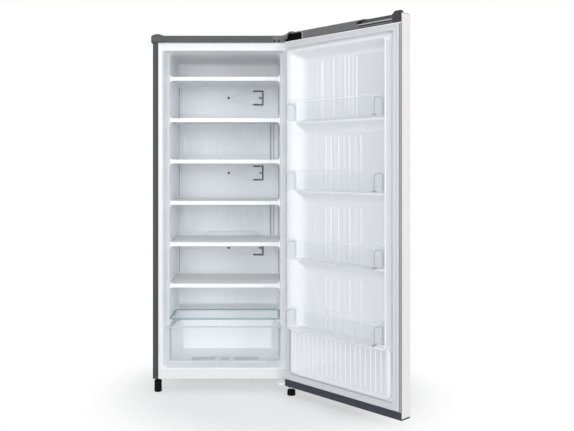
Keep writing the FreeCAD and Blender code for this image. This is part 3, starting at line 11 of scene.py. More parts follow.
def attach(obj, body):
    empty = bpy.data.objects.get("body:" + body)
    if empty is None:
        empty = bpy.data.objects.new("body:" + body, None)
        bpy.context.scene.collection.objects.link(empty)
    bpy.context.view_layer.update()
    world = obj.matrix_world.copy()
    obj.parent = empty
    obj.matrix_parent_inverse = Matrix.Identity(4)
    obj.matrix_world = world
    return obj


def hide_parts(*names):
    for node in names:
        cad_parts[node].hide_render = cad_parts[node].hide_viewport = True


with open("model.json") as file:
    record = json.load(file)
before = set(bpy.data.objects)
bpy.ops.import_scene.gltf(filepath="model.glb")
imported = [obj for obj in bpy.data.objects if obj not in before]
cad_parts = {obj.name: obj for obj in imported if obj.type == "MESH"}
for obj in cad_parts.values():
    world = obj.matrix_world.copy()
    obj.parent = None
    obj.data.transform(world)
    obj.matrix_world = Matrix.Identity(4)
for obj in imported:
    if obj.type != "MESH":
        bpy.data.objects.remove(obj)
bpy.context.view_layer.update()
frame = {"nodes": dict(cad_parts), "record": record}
NODES = frame["nodes"]

MM = 0.001
SHIFT = Vector((-0.19712545, -0.03145256, 0.0))
HINGE = Vector((0.2825, -0.033, 0.0)) + SHIFT
OPEN_ANGLE = math.radians(133.0)
DOOR_TURN = Matrix.Rotation(OPEN_ANGLE, 4, "Z")
HINGE_ACROSS = 15.0
HINGE_DEEP = 23.0


def row(x, y, z):
    """A place in the cabinet's own millimetres, in the row frame's metres."""
    return Vector((x, y, z)) * MM + SHIFT


def door(across, deep, height):
    """A place on the open door: across from its hinge edge, deep from its inner face, height."""
    local = Vector((HINGE_ACROSS - across, HINGE_DEEP + deep, height)) * MM
    return HINGE + DOOR_TURN @ local


# The open door's own directions: away from its inner face, and from its hinge edge to its far edge
INWARD = (DOOR_TURN @ Vector((0.0, 1.0, 0.0, 0.0))).to_3d()
ALONG = (door(1.0, 0.0, 0.0) - door(0.0, 0.0, 0.0)).normalized()


# ---------------------------------------------------------------- camera and stage

SKY = (0.93, 0.96, 1.0, 1.0)
WHITE = (1.0, 1.0, 1.0, 1.0)
FLOOR_HALF = 9.0


def make_camera():
    data = bpy.data.cameras.new("photo_view")
    data.lens = 46.98
    data.sensor_width = 36.0
    data.shift_x = 0.0362
    data.shift_y = -0.0841
    data.clip_end = 60.0
    camera = bpy.data.objects.new("photo_view", data)
    camera.location = (-0.018925, -3.172953, 0.9449)
    camera.rotation_euler = (math.radians(90.0), 0.0, 0.0)
    bpy.context.scene.collection.objects.link(camera)
    bpy.context.scene.camera = camera


def larger(tree, one, other):
    """The larger of two values."""
    node = tree.nodes.new("ShaderNodeMath")
    node.operation = "MAXIMUM"
    tree.links.new(one, node.inputs[0])
    tree.links.new(other, node.inputs[1])
    return node.outputs[0]


def blended(tree, share, one, other):
    """Two shaders mixed: the first at share 0, the second at share 1."""
    node = tree.nodes.new("ShaderNodeMixShader")
    for socket, source in zip(node.inputs, (share, one, other)):
        tree.links.new(source, socket)
    return node.outputs[0]


def mapped(tree, source, start, end, low, high):
    """A node that maps a value of start to end onto low to high."""
    node = tree.nodes.new("ShaderNodeMapRange")
    for name, value in (("From Min", start), ("From Max", end), ("To Min", low), ("To Max", high)):
        node.inputs[name].default_value = value
    tree.links.new(source, node.inputs["Value"])
    return node


def seen_white(strength):
    """A world that reads white to the camera, glossy and clear surfaces, and softly lights the rest."""
    world = bpy.data.worlds.new("studio")
    bpy.context.scene.world = world
    world.use_nodes = True
    tree = world.node_tree
    tree.nodes.clear()
    path = tree.nodes.new("ShaderNodeLightPath")
    seen = larger(tree, path.outputs["Is Camera Ray"], path.outputs["Is Transmission Ray"])
    seen = larger(tree, seen, path.outputs["Is Glossy Ray"])
    shades = []
    for colour, amount in ((SKY, strength), (WHITE, 1.0)):
        shade = tree.nodes.new("ShaderNodeBackground")
        shade.inputs["Color"].default_value = colour
        shade.inputs["Strength"].default_value = amount
        shades.append(shade.outputs[0])
    out = tree.nodes.new("ShaderNodeOutputWorld")
    tree.links.new(blended(tree, seen, *shades), out.inputs["Surface"])


def area_lamp(name, place, target, size, power):
    data = bpy.data.lights.new(name, "AREA")
    data.shape = "RECTANGLE"
    data.size, data.size_y = size
    data.energy = power
    lamp = bpy.data.objects.new(name, data)
    lamp.location = place
    lamp.rotation_euler = (Vector(target) - Vector(place)).to_track_quat("-Z", "Y").to_euler()
    bpy.context.scene.collection.objects.link(lamp)


def make_floor():
    """A wide pale floor that keeps the object's soft shadow and reads nearly white elsewhere."""
    mesh = bpy.data.meshes.new("floor")
    corners = ((-1, -1), (1, -1), (1, 1), (-1, 1))
    mesh.from_pydata([(x * FLOOR_HALF, y * FLOOR_HALF, 0.0) for x, y in corners], [], [(0, 1, 2, 3)])
    floor = bpy.data.objects.new("floor", mesh)
    bpy.context.scene.collection.objects.link(floor)
    material, tree, base = new_material("pale_floor")
    base.inputs["Base Color"].default_value = (0.97, 0.97, 0.97, 1.0)
    base.inputs["Roughness"].default_value = 0.7
    glow = tree.nodes.new("ShaderNodeEmission")
    glow.inputs["Strength"].default_value = 1.0
    path = tree.nodes.new("ShaderNodeLightPath")
    place = tree.nodes.new("ShaderNodeTexCoord")
    reach = tree.nodes.new("ShaderNodeVectorMath")
    reach.operation = "LENGTH"
    tree.links.new(place.outputs["Object"], reach.inputs[0])
    fade = mapped(tree, reach.outputs["Value"], 0.36, 0.80, 0.45, 1.0)
    fade.interpolation_type = "SMOOTHSTEP"
    share = tree.nodes.new("ShaderNodeMath")
    share.operation = "MULTIPLY"
    seen = larger(tree, path.outputs["Is Camera Ray"], path.outputs["Is Glossy Ray"])
    tree.links.new(seen, share.inputs[0])
    tree.links.new(fade.outputs[0], share.inputs[1])
    look = blended(tree, share.outputs[0], base.outputs[0], glow.outputs[0])
    tree.links.new(look, tree.nodes["Material Output"].inputs["Surface"])
    mesh.materials.append(material)


# ---------------------------------------------------------------- materials


SCUFFS = 0.04


def new_material(name):
    material = bpy.data.materials.new(name)
    material.use_nodes = True
    tree = material.node_tree
    return material, tree, tree.nodes["Principled BSDF"]


def noise(tree, scale, detail=3.0, roughness=0.5, stretch=(1.0, 1.0, 1.0)):
    """Noise over the object's own metres, stretched along its axes."""
    place = tree.nodes.new("ShaderNodeTexCoord")
    mapping = tree.nodes.new("ShaderNodeMapping")
    mapping.inputs["Scale"].default_value = stretch
    tree.links.new(place.outputs["Object"], mapping.inputs["Vector"])
    texture = tree.nodes.new("ShaderNodeTexNoise")
    texture.inputs["Scale"].default_value = scale
    texture.inputs["Detail"].default_value = detail
    texture.inputs["Roughness"].default_value = roughness
    tree.links.new(mapping.outputs[0], texture.inputs["Vector"])
    return texture.outputs["Fac"]


def spread(tree, source, low, high):
    """Maps noise of 0.3 to 0.7 onto low to high."""
    return mapped(tree, source, 0.3, 0.7, low, high).outputs[0]


def tinted(tree, source, colour, change):
    """A colour that wanders by a small share around the given one."""
    node = tree.nodes.new("ShaderNodeMix")
    node.data_type = "RGBA"
    low = [c * (1.0 - change) for c in colour]
    high = [min(1.0, c * (1.0 + change)) for c in colour]
    node.inputs["A"].default_value = (*low, 1.0)
    node.inputs["B"].default_value = (*high, 1.0)
    tree.links.new(source, node.inputs["Factor"])
    return node.outputs["Result"]


def bumped(tree, height, distance, strength=1.0, normal=None):
    node = tree.nodes.new("ShaderNodeBump")
    node.inputs["Distance"].default_value = distance
    node.inputs["Strength"].default_value = strength
    tree.links.new(height, node.inputs["Height"])
    if normal is not None:
        tree.links.new(normal, node.inputs["Normal"])
    return node.outputs[0]


def finish_material(
    name, colour, rough, metallic=0.0, change=0.02, grain=(900.0, 0.00002), wave=(6.0, 0.0003),
    coat=0.0, stretch=(1.0, 1.0, 1.0), specular=0.5,
):
    """A moulded, painted or rolled surface: slow colour drift, fine grain and a slow waviness."""
    material, tree, base = new_material(name)
    slow = noise(tree, wave[0], 4.0, 0.55)
    fine = noise(tree, grain[0], 2.0, 0.6, stretch)
    smear = noise(tree, 38.0, 5.0, 0.65, (1.0, 1.0, 0.4))
    tree.links.new(tinted(tree, slow, colour, change), base.inputs["Base Color"])
    tree.links.new(spread(tree, smear, rough - SCUFFS, rough + SCUFFS), base.inputs["Roughness"])
    waves = bumped(tree, slow, wave[1])
    tree.links.new(bumped(tree, fine, grain[1], 1.0, waves), base.inputs["Normal"])
    base.inputs["Metallic"].default_value = metallic
    base.inputs["Coat Weight"].default_value = coat
    if coat:
        base.inputs["Coat Roughness"].default_value = 0.08
    base.inputs["Specular IOR Level"].default_value = specular
    return material


def clear_material(name, tint, haze, frost, edge, rough=0.05):
    """Clear plastic or glass: mostly see-through, with a haze that gathers where it is seen edge on."""
    material, tree, base = new_material(name)
    slow = noise(tree, 14.0, 3.0, 0.5)
    smear = noise(tree, 60.0, 4.0, 0.6, (1.0, 1.0, 0.3))
    tree.links.new(tinted(tree, slow, haze, 0.03), base.inputs["Base Color"])
    tree.links.new(spread(tree, smear, rough, rough + 0.06), base.inputs["Roughness"])
    tree.links.new(bumped(tree, slow, 0.0003), base.inputs["Normal"])
    through = tree.nodes.new("ShaderNodeBsdfTransparent")
    through.inputs["Color"].default_value = (*tint, 1.0)
    facing = tree.nodes.new("ShaderNodeLayerWeight")
    facing.inputs["Blend"].default_value = 0.25
    share = mapped(tree, facing.outputs["Facing"], 0.0, 1.0, frost, edge)
    look = blended(tree, share.outputs[0], through.outputs[0], base.outputs[0])
    tree.links.new(look, tree.nodes["Material Output"].inputs["Surface"])
    return material


# Grains: how fine they are, and their height in metres
PLASTIC = (1100.0, 0.00003)
SMOOTH = (500.0, 0.00001)
PAINT = (700.0, 0.00003)
BRUSHED = (1.0, 0.02, 1.0)
FINISHES = {
    "cabinet_paint": dict(colour=(0.058, 0.058, 0.060), rough=0.46, grain=PAINT, specular=0.22),
    "door_paint": dict(colour=(0.905, 0.885, 0.85), rough=0.32, grain=(700.0, 0.00002), coat=0.25),
    "foam": dict(colour=(0.80, 0.70, 0.42), rough=0.9, grain=(350.0, 0.0004), change=0.08),
    # Painted light: the lining's one white is split into a dimmer copy for the flange face and a brighter
    # copy for the bays, so the shaded bays read as bright as the lit flange
    "cabinet_lining": dict(colour=(0.82, 0.82, 0.845), rough=0.38, grain=SMOOTH, coat=0.1),
    "bay_lining_painted_light": dict(colour=(0.94, 0.965, 0.985), rough=0.38, grain=SMOOTH, coat=0.1),
    # Painted shade: a darker copy of the door lining's white for the rim's far outer side, where shade falls
    # beside the seal
    "rim_side_painted_shade": dict(colour=(0.66, 0.68, 0.71), rough=0.40, grain=SMOOTH),
    "door_lining": dict(colour=(0.835, 0.855, 0.88), rough=0.36, grain=SMOOTH, coat=0.15),
    "shelf": dict(colour=(0.93, 0.945, 0.955), rough=0.44, grain=SMOOTH),
    "duct_cover": dict(colour=(0.90, 0.935, 0.97), rough=0.42, grain=PLASTIC),
    "glass_edge": dict(colour=(0.16, 0.35, 0.37), rough=0.12, grain=SMOOTH, change=0.15),
    "drawer_edge": dict(colour=(0.62, 0.69, 0.74), rough=0.2, grain=SMOOTH),
    "drawer_rim": dict(colour=(0.60, 0.74, 0.76), rough=0.2, grain=SMOOTH),
    # Painted shade: a dark grey that draws the outline beads on the bins' end walls and the rims of the
    # drawer's slots as dark lines
    "dark_bead_painted_shade": dict(colour=(0.26, 0.30, 0.33), rough=0.2, grain=SMOOTH),
    # Painted shade: a mid-grey strip and near-black lines for the shade in the recessed band between the seal
    # and the door's skin
    "edge_line_painted_shade": dict(colour=(0.13, 0.12, 0.15), rough=0.5, grain=PLASTIC, specular=0.2),
    "edge_strip_painted_shade": dict(colour=(0.42, 0.41, 0.44), rough=0.5, grain=PLASTIC, specular=0.2),
    # Painted highlight: a whiter copy of the lining for thin beads along the door rim's crest and the
    # lining's top edge
    "liner_bead_painted_highlight": dict(colour=(0.97, 0.97, 0.98), rough=0.3, grain=SMOOTH),
    # Painted shade: dark and paler strips for the shade down the bays' rear corners, joints and grooves
    "joint_painted_shade": dict(colour=(0.24, 0.27, 0.30), rough=0.6, grain=PLASTIC, specular=0.2),
    "groove_painted_shade": dict(colour=(0.50, 0.55, 0.60), rough=0.6, grain=PLASTIC, specular=0.2),
    "milky_drawer": dict(colour=(0.95, 0.97, 0.98), rough=0.30, grain=SMOOTH),
    "grey_trim": dict(colour=(0.090, 0.091, 0.093), rough=0.5, grain=PLASTIC, specular=0.25),
    "corner_cap": dict(colour=(0.088, 0.089, 0.091), rough=0.5, grain=PLASTIC, specular=0.25),
    "hinge_cover": dict(colour=(0.135, 0.135, 0.137), rough=0.4, grain=PLASTIC, specular=0.4),
    "kick_paint": dict(colour=(0.79, 0.79, 0.80), rough=0.42, grain=PAINT),
    "door_top_trim": dict(colour=(0.160, 0.160, 0.161), rough=0.5, grain=PLASTIC, specular=0.25),
    "cap_boss": dict(colour=(0.046, 0.047, 0.048), rough=0.5, grain=PLASTIC, specular=0.25),
    # Painted highlight: a pale grey for the grip's lower lip and the border beside the hinge notch, where
    # light catches their edges
    "grip_lip_painted_highlight": dict(colour=(0.50, 0.50, 0.51), rough=0.35, grain=PLASTIC),
    # Painted shade: a darker copy of the cap's trim, and a near black, for the shade inside hollows, grooves
    # and holes
    "grip_grey_painted_shade": dict(colour=(0.105, 0.106, 0.108), rough=0.5, grain=PLASTIC, specular=0.2),
    "deep_painted_shade": dict(colour=(0.022, 0.022, 0.023), rough=0.6, grain=PLASTIC, specular=0.15),
    "door_bottom_trim": dict(colour=(0.050, 0.056, 0.072), rough=0.5, grain=PLASTIC, specular=0.2),
    "black_plastic": dict(colour=(0.004, 0.004, 0.0045), rough=0.5, grain=PLASTIC, specular=0.07),
    "pocket_black": dict(colour=(0.002, 0.002, 0.002), rough=0.6, grain=PLASTIC, specular=0.05),
    "bush_plastic": dict(colour=(0.75, 0.75, 0.72), rough=0.4, grain=PLASTIC),
    "seal": dict(colour=(0.67, 0.685, 0.71), rough=0.62, grain=PLASTIC, change=0.03),
    "magnet": dict(colour=(0.05, 0.05, 0.055), rough=0.7, grain=PLASTIC),
    "hinge_steel": dict(
        colour=(0.62, 0.63, 0.64), rough=0.34, metallic=1.0, grain=(400.0, 0.00002), stretch=BRUSHED,
    ),
    "screw_steel": dict(colour=(0.45, 0.46, 0.47), rough=0.30, metallic=1.0, grain=(900.0, 0.00002)),
    "galvanised": dict(
        colour=(0.55, 0.57, 0.59), rough=0.42, metallic=1.0, change=0.10, wave=(45.0, 0.0001),
    ),
    "grille_paint": dict(colour=(0.022, 0.022, 0.024), rough=0.5, grain=PAINT),
    "fins": dict(
        colour=(0.66, 0.67, 0.69), rough=0.35, metallic=1.0, grain=(300.0, 0.00002), stretch=BRUSHED,
    ),
    "fan_plastic": dict(colour=(0.015, 0.015, 0.017), rough=0.45, grain=PLASTIC),
    "motor": dict(colour=(0.09, 0.095, 0.10), rough=0.45, grain=PAINT),
    "compressor_paint": dict(colour=(0.012, 0.012, 0.014), rough=0.25, coat=0.6),
    "mount_rubber": dict(colour=(0.02, 0.02, 0.02), rough=0.8, grain=PLASTIC),
    "pan_plastic": dict(colour=(0.08, 0.083, 0.087), rough=0.5, grain=PLASTIC),
    "control_plastic": dict(colour=(0.70, 0.70, 0.67), rough=0.45, grain=PLASTIC),
    "roller_plastic": dict(colour=(0.02, 0.02, 0.02), rough=0.45, grain=PLASTIC),
}
CLEAR = {
    "tempered_glass": dict(
        tint=(0.98, 0.99, 0.99), haze=(0.84, 0.90, 0.93), frost=0.04, edge=0.34, rough=0.02,
    ),
    "bin_rim": dict(tint=(0.99, 0.992, 0.995), haze=(0.93, 0.95, 0.97), frost=0.30, edge=0.60),
    "bin_end": dict(tint=(0.98, 0.987, 0.993), haze=(0.72, 0.76, 0.80), frost=0.08, edge=0.35),
    "clear_drawer": dict(tint=(0.99, 0.993, 0.995), haze=(0.88, 0.92, 0.95), frost=0.04, edge=0.40),
    "clear_bin": dict(tint=(0.992, 0.994, 0.996), haze=(0.90, 0.93, 0.95), frost=0.03, edge=0.42),
}


def make_materials():
    made = {name: finish_material(name, **look) for name, look in FINISHES.items()}
    made.update({name: clear_material(name, **look) for name, look in CLEAR.items()})
    return made


# ---------------------------------------------------------------- mesh helpers


def add_piece(name, shape, material, body, replaced=(), angle=35.0, thick=0.0):
    """A mesh piece in the row frame, cleaned, shaded smooth between its sharp edges, riding a body."""
    work = bmesh.new()
    made = [work.verts.new(point) for point in shape.points]
    for face in shape.faces:
        try:
            work.faces.new([made[i] for i in face])
        except ValueError:
            continue
    bmesh.ops.remove_doubles(work, verts=work.verts, dist=0.00001)
    bmesh.ops.dissolve_degenerate(work, dist=0.00001, edges=work.edges)
    bmesh.ops.recalc_face_normals(work, faces=work.faces)
    mesh = bpy.data.meshes.new(name)
    work.to_mesh(mesh)
    work.free()
    for one in material if isinstance(material, list) else [material]:
        mesh.materials.append(one)
    mesh.polygons.foreach_set("use_smooth", [True] * len(mesh.polygons))
    mesh.set_sharp_from_angle(angle=math.radians(angle))
    piece = bpy.data.objects.new(name, mesh)
    bpy.context.scene.collection.objects.link(piece)
    if thick:
        shell = piece.modifiers.new("wall", "SOLIDIFY")
        shell.thickness = thick * MM
        shell.offset = -1.0
    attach(piece, body)
    if replaced:
        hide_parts(*replaced)
    return piece


def arc(cx, cy, radius, start, sweep, steps):
    """Points along an arc, from its start in degrees."""
    turns = [math.radians(start + sweep * step / steps) for step in range(steps + 1)]
    return [(cx + radius * math.cos(turn), cy + radius * math.sin(turn)) for turn in turns]


def round_rect(x0, x1, z0, z1, radius, steps=6):
    """Points round a rectangle with rounded corners."""
    radius = max(radius, 0.02)
    points = []
    for cx, cz, start in (
        (x1 - radius, z0 + radius, -90.0), (x1 - radius, z1 - radius, 0.0),
        (x0 + radius, z1 - radius, 90.0), (x0 + radius, z0 + radius, 180.0),
    ):
        points += arc(cx, cz, radius, start, 90.0, steps)
    return points


def upright(depth, *sides):
    """A rounded rectangle standing at one depth."""
    return [(x, depth, z) for x, z in round_rect(*sides)]


class Shape:
    """Collects points and faces in one place's own millimetres."""

    def __init__(self, place):
        self.place = place
        self.points = []
        self.faces = []

    def add(self, points):
        start = len(self.points)
        self.points.extend(self.place(*point) for point in points)
        return list(range(start, len(self.points)))

    def loft(self, rings, first_cap=False, last_cap=False, closed=True):
        """Joins rings of equal length one after the other."""
        rows = [self.add(ring) for ring in rings]
        count = len(rows[0])
        reach = count if closed else count - 1
        for one, other in zip(rows, rows[1:]):
            for i in range(reach):
                j = (i + 1) % count
                self.faces.append((one[i], one[j], other[j], other[i]))
        if first_cap:
            self.faces.append(tuple(reversed(rows[0])))
        if last_cap:
            self.faces.append(tuple(rows[-1]))
        return rows

    def loop(self, rings):
        """Joins rings into a closed tube: the last ring meets the first."""
        rows = [self.add(ring) for ring in rings]
        count = len(rows[0])
        for one, other in zip(rows, rows[1:] + rows[:1]):
            for i in range(count):
                j = (i + 1) % count
                self.faces.append((one[i], one[j], other[j], other[i]))

    def box(self, low, high):
        (x0, y0, z0), (x1, y1, z1) = low, high
        ring = [(x0, y0), (x1, y0), (x1, y1), (x0, y1)]
        self.loft([[(x, y, z0) for x, y in ring], [(x, y, z1) for x, y in ring]], True, True)

    def lathe(self, centre, profile, steps=40):
        """Turns a profile of (radius, height) round an upright axis."""
        cx, cy = centre
        turns = [2 * math.pi * step / steps for step in range(steps)]
        self.loft(
            [[(cx + r * math.cos(turn), cy + r * math.sin(turn), z) for turn in turns] for r, z in profile],
            True, True,
        )


# ---------------------------------------------------------------- carried-over CAD pieces

BEVELS = {
    "air_duct_cover": 0.8, "drawer_front": 0.6, "front_top_rail": 0.6, "kick_plate": 0.7,
    "door_outer_skin": 0.5, "door_bottom_cap": 0.6,
}
SLOT_OF = {s["node"]: s["material_slot"] for s in frame["record"]["subparts"]}


def dress_node(name, materials):
    """Gives a CAD piece its finish, softened edges and clean shading."""
    node = NODES[name]
    mesh = node.data
    mesh.materials.clear()
    mesh.materials.append(materials[SLOT_OF[name]])
    mesh.polygons.foreach_set("use_smooth", [True] * len(mesh.polygons))
    weld = node.modifiers.new("weld", "WELD")
    weld.merge_threshold = 0.00002
    bevel = node.modifiers.new("bevel", "BEVEL")
    bevel.width = BEVELS.get(name, 0.4) * MM
    bevel.segments = 2
    bevel.limit_method = "ANGLE"
    bevel.angle_limit = math.radians(40.0)
    bevel.use_clamp_overlap = True
    even = node.modifiers.new("even", "WEIGHTED_NORMAL")
    even.keep_sharp = True


# ---------------------------------------------------------------- the cabinet's lining

FLANGE_HALF = 274.5
FLANGE_LOW = 95.0
FLANGE_HIGH = 1467.0
MOUTH_HALF = 256.5
MOUTH_LOW = 103.0
MOUTH_HIGH = 1438.0
MOUTH_DEPTH = 85.0
BAY_HALF = 239.0
BAY_LOW = 109.0
BAY_BACK = 425.0
STEP_FRONT = 305.0
STEP_TOP = 293.0
DUCT_RING = (219.0, 455.0, 1312.0, 480.0)
SHELF_TOPS = [1334.0 - 178.2 * level for level in range(6)]
SHELF_PLATE = 6.0


def lining(materials):
    """The moulded inner lining: flange, wide mouth, shoulder, soft-cornered bays, step and ledges."""
    shape = Shape(row)

    def ring(y, half, low, high, radius):
        return upright(y, -half, half, low, high, radius)

    rings = [
        ring(2.0, FLANGE_HALF, FLANGE_LOW, FLANGE_HIGH, 1.0),
        ring(0.4, FLANGE_HALF, FLANGE_LOW, FLANGE_HIGH, 1.0),
        ring(0.0, FLANGE_HALF - 0.5, FLANGE_LOW + 0.5, FLANGE_HIGH - 0.5, 1.0),
        ring(0.0, MOUTH_HALF + 6.0, MOUTH_LOW - 4.0, MOUTH_HIGH - 4.0, 15.0),
        ring(0.8, MOUTH_HALF + 3.4, MOUTH_LOW - 2.2, MOUTH_HIGH - 3.6, 15.0),
        ring(2.8, MOUTH_HALF + 1.0, MOUTH_LOW - 0.7, MOUTH_HIGH - 3.0, 15.0),
        ring(6.0, MOUTH_HALF - 0.8, MOUTH_LOW, MOUTH_HIGH - 2.5, 15.0),
        ring(MOUTH_DEPTH - 20.0, MOUTH_HALF - 7.0, MOUTH_LOW + 0.5, MOUTH_HIGH - 2.0, 17.0),
        ring(MOUTH_DEPTH - 11.0, MOUTH_HALF - 8.6, MOUTH_LOW + 1.0, MOUTH_HIGH - 2.0, 17.5),
        ring(MOUTH_DEPTH - 5.0, MOUTH_HALF - 10.8, MOUTH_LOW + 2.0, MOUTH_HIGH - 2.0, 18.0),
        ring(MOUTH_DEPTH - 1.0, MOUTH_HALF - 13.6, MOUTH_LOW + 3.4, MOUTH_HIGH - 2.5, 18.5),
        ring(MOUTH_DEPTH + 2.0, BAY_HALF + 1.6, BAY_LOW - 0.9, MOUTH_HIGH - 3.0, 18.5),
        ring(MOUTH_DEPTH + 7.0, BAY_HALF, BAY_LOW, MOUTH_HIGH - 3.0, 18.0),
        ring(STEP_FRONT - 10.0, BAY_HALF, BAY_LOW, MOUTH_HIGH, 20.0),
        ring(STEP_FRONT - 3.0, BAY_HALF, BAY_LOW + 3.0, MOUTH_HIGH, 20.0),
        ring(STEP_FRONT, BAY_HALF, BAY_LOW + 10.0, MOUTH_HIGH, 20.0),
        ring(STEP_FRONT, BAY_HALF, STEP_TOP - 8.0, MOUTH_HIGH, 20.0),
        ring(STEP_FRONT + 2.4, BAY_HALF, STEP_TOP - 2.4, MOUTH_HIGH, 20.0),
        ring(STEP_FRONT + 8.0, BAY_HALF, STEP_TOP, MOUTH_HIGH, 20.0),
    ]
    for turn in range(0, 91, 15):
        inset = 13.0 * (1.0 - math.cos(math.radians(turn)))
        y = BAY_BACK - 13.0 + 13.0 * math.sin(math.radians(turn))
        rings.append(ring(y, BAY_HALF - inset, STEP_TOP + inset, MOUTH_HIGH - inset, 20.0 - inset * 0.5))
    half, low, high, back = DUCT_RING
    rings.append(ring(BAY_BACK, half, low, high, 8.0))
    rings.append(ring(BAY_BACK + 1.5, half - 1.0, low + 1.0, high - 1.0, 7.0))
    rings.append(ring(back, half - 2.0, low + 2.0, high - 2.0, 7.0))
    shape.loft(rings, False, True)
    piece = add_piece(
        "cabinet_lining", shape, [materials["cabinet_lining"], materials["bay_lining_painted_light"]], "cabinet",
        ("inner_liner",), angle=50.0, thick=1.6,
    )
    mesh = piece.data
    # Painted light: the flange face keeps the dimmer copy, everything set back behind it takes the brighter
    # copy
    lip = row(0.0, 1.5, 0.0).y
    for polygon in mesh.polygons:
        polygon.material_index = 1 if polygon.center.y > lip else 0
    centre = row(0.0, 200.0, 700.0)
    side = [p for p in mesh.polygons if abs(p.normal.x) > 0.9 and p.area > 0.05]
    if side and (centre - side[0].center).dot(side[0].normal) < 0:
        mesh.flip_normals()
    ledges = Shape(row)
    for sign in (-1.0, 1.0):
        for top in [top - SHELF_PLATE for top in SHELF_TOPS] + [STEP_TOP - 5.0]:
            back_end = 392.0 if top > STEP_TOP else 285.0
            section = [
                (BAY_HALF + 0.8, top - 8.0), (BAY_HALF - 7.0, top - 8.0), (BAY_HALF - 9.3, top - 6.0),
                (BAY_HALF - 10.0, top - 3.0), (BAY_HALF - 9.5, top - 0.6), (BAY_HALF - 8.5, top),
                (BAY_HALF + 0.8, top),
            ]
            ends = [(101.0, 0.75), (101.5, 1.0), (back_end, 1.0), (back_end + 4.0, 0.7)]
            ledges.loft(
                [
                    [(sign * (BAY_HALF + 0.8 - (BAY_HALF + 0.8 - x) * share), y, z) for x, z in section]
                    for y, share in ends
                ],
                True, True,
            )
    # The ledges take the bays' brighter copy: painted light
    add_piece("shelf_ledges", ledges, materials["bay_lining_painted_light"], "cabinet")


# ---------------------------------------------------------------- the door's lining

DOOR_WIDTH = 595.0
LINER_LOW = 68.0
LINER_HIGH = 1464.0
RIM = (48.0, 551.0, 104.0, 1421.0)
RIM_HEIGHT = 35.0
APRON_TOP = 284.0
APRON_HEIGHT = 17.0
CREST = (56.0, 545.0, APRON_TOP + 8.0, 1413.0)
FIELD = (136.0, 540.5, 305.0, 1374.0)
RIM_FAR_SIDE = 549.5
TOP_RIBS_END = 1384.0
# Where the field's ribs stand: narrow and wide ones, first in the top bay, then in those below
TOP_BAY_RIBS = ((205.6, 214.1, 269.9, 328.2, 348.2, 385.7), (180.0, 240.0, 300.0, 366.0))
LOW_BAY_RIBS = ((230.0, 256.3, 295.7, 351.2, 407.1), (168.0, 242.0, 278.0, 322.0, 380.0))
BIN_NEAR = 86.0
BIN_FAR = 536.0
BIN_HEIGHT = 82.0
BIN_LOWS = [1208.0 - 274.0 * k - BIN_HEIGHT for k in range(4)]


def rim_ring(grow, height, radius):
    """A ring round the raised rim above the apron, grown outwards."""
    a0, a1, _, z1 = RIM
    return upright(height, a0 - grow, a1 + grow, APRON_TOP - grow, z1 + grow, radius)


def rim_fall(share):
    """The rim's height from its crest, at share 0, down to the field, at share 1."""
    return RIM_HEIGHT * (0.5 + 0.5 * math.cos(math.pi * share ** 0.85))


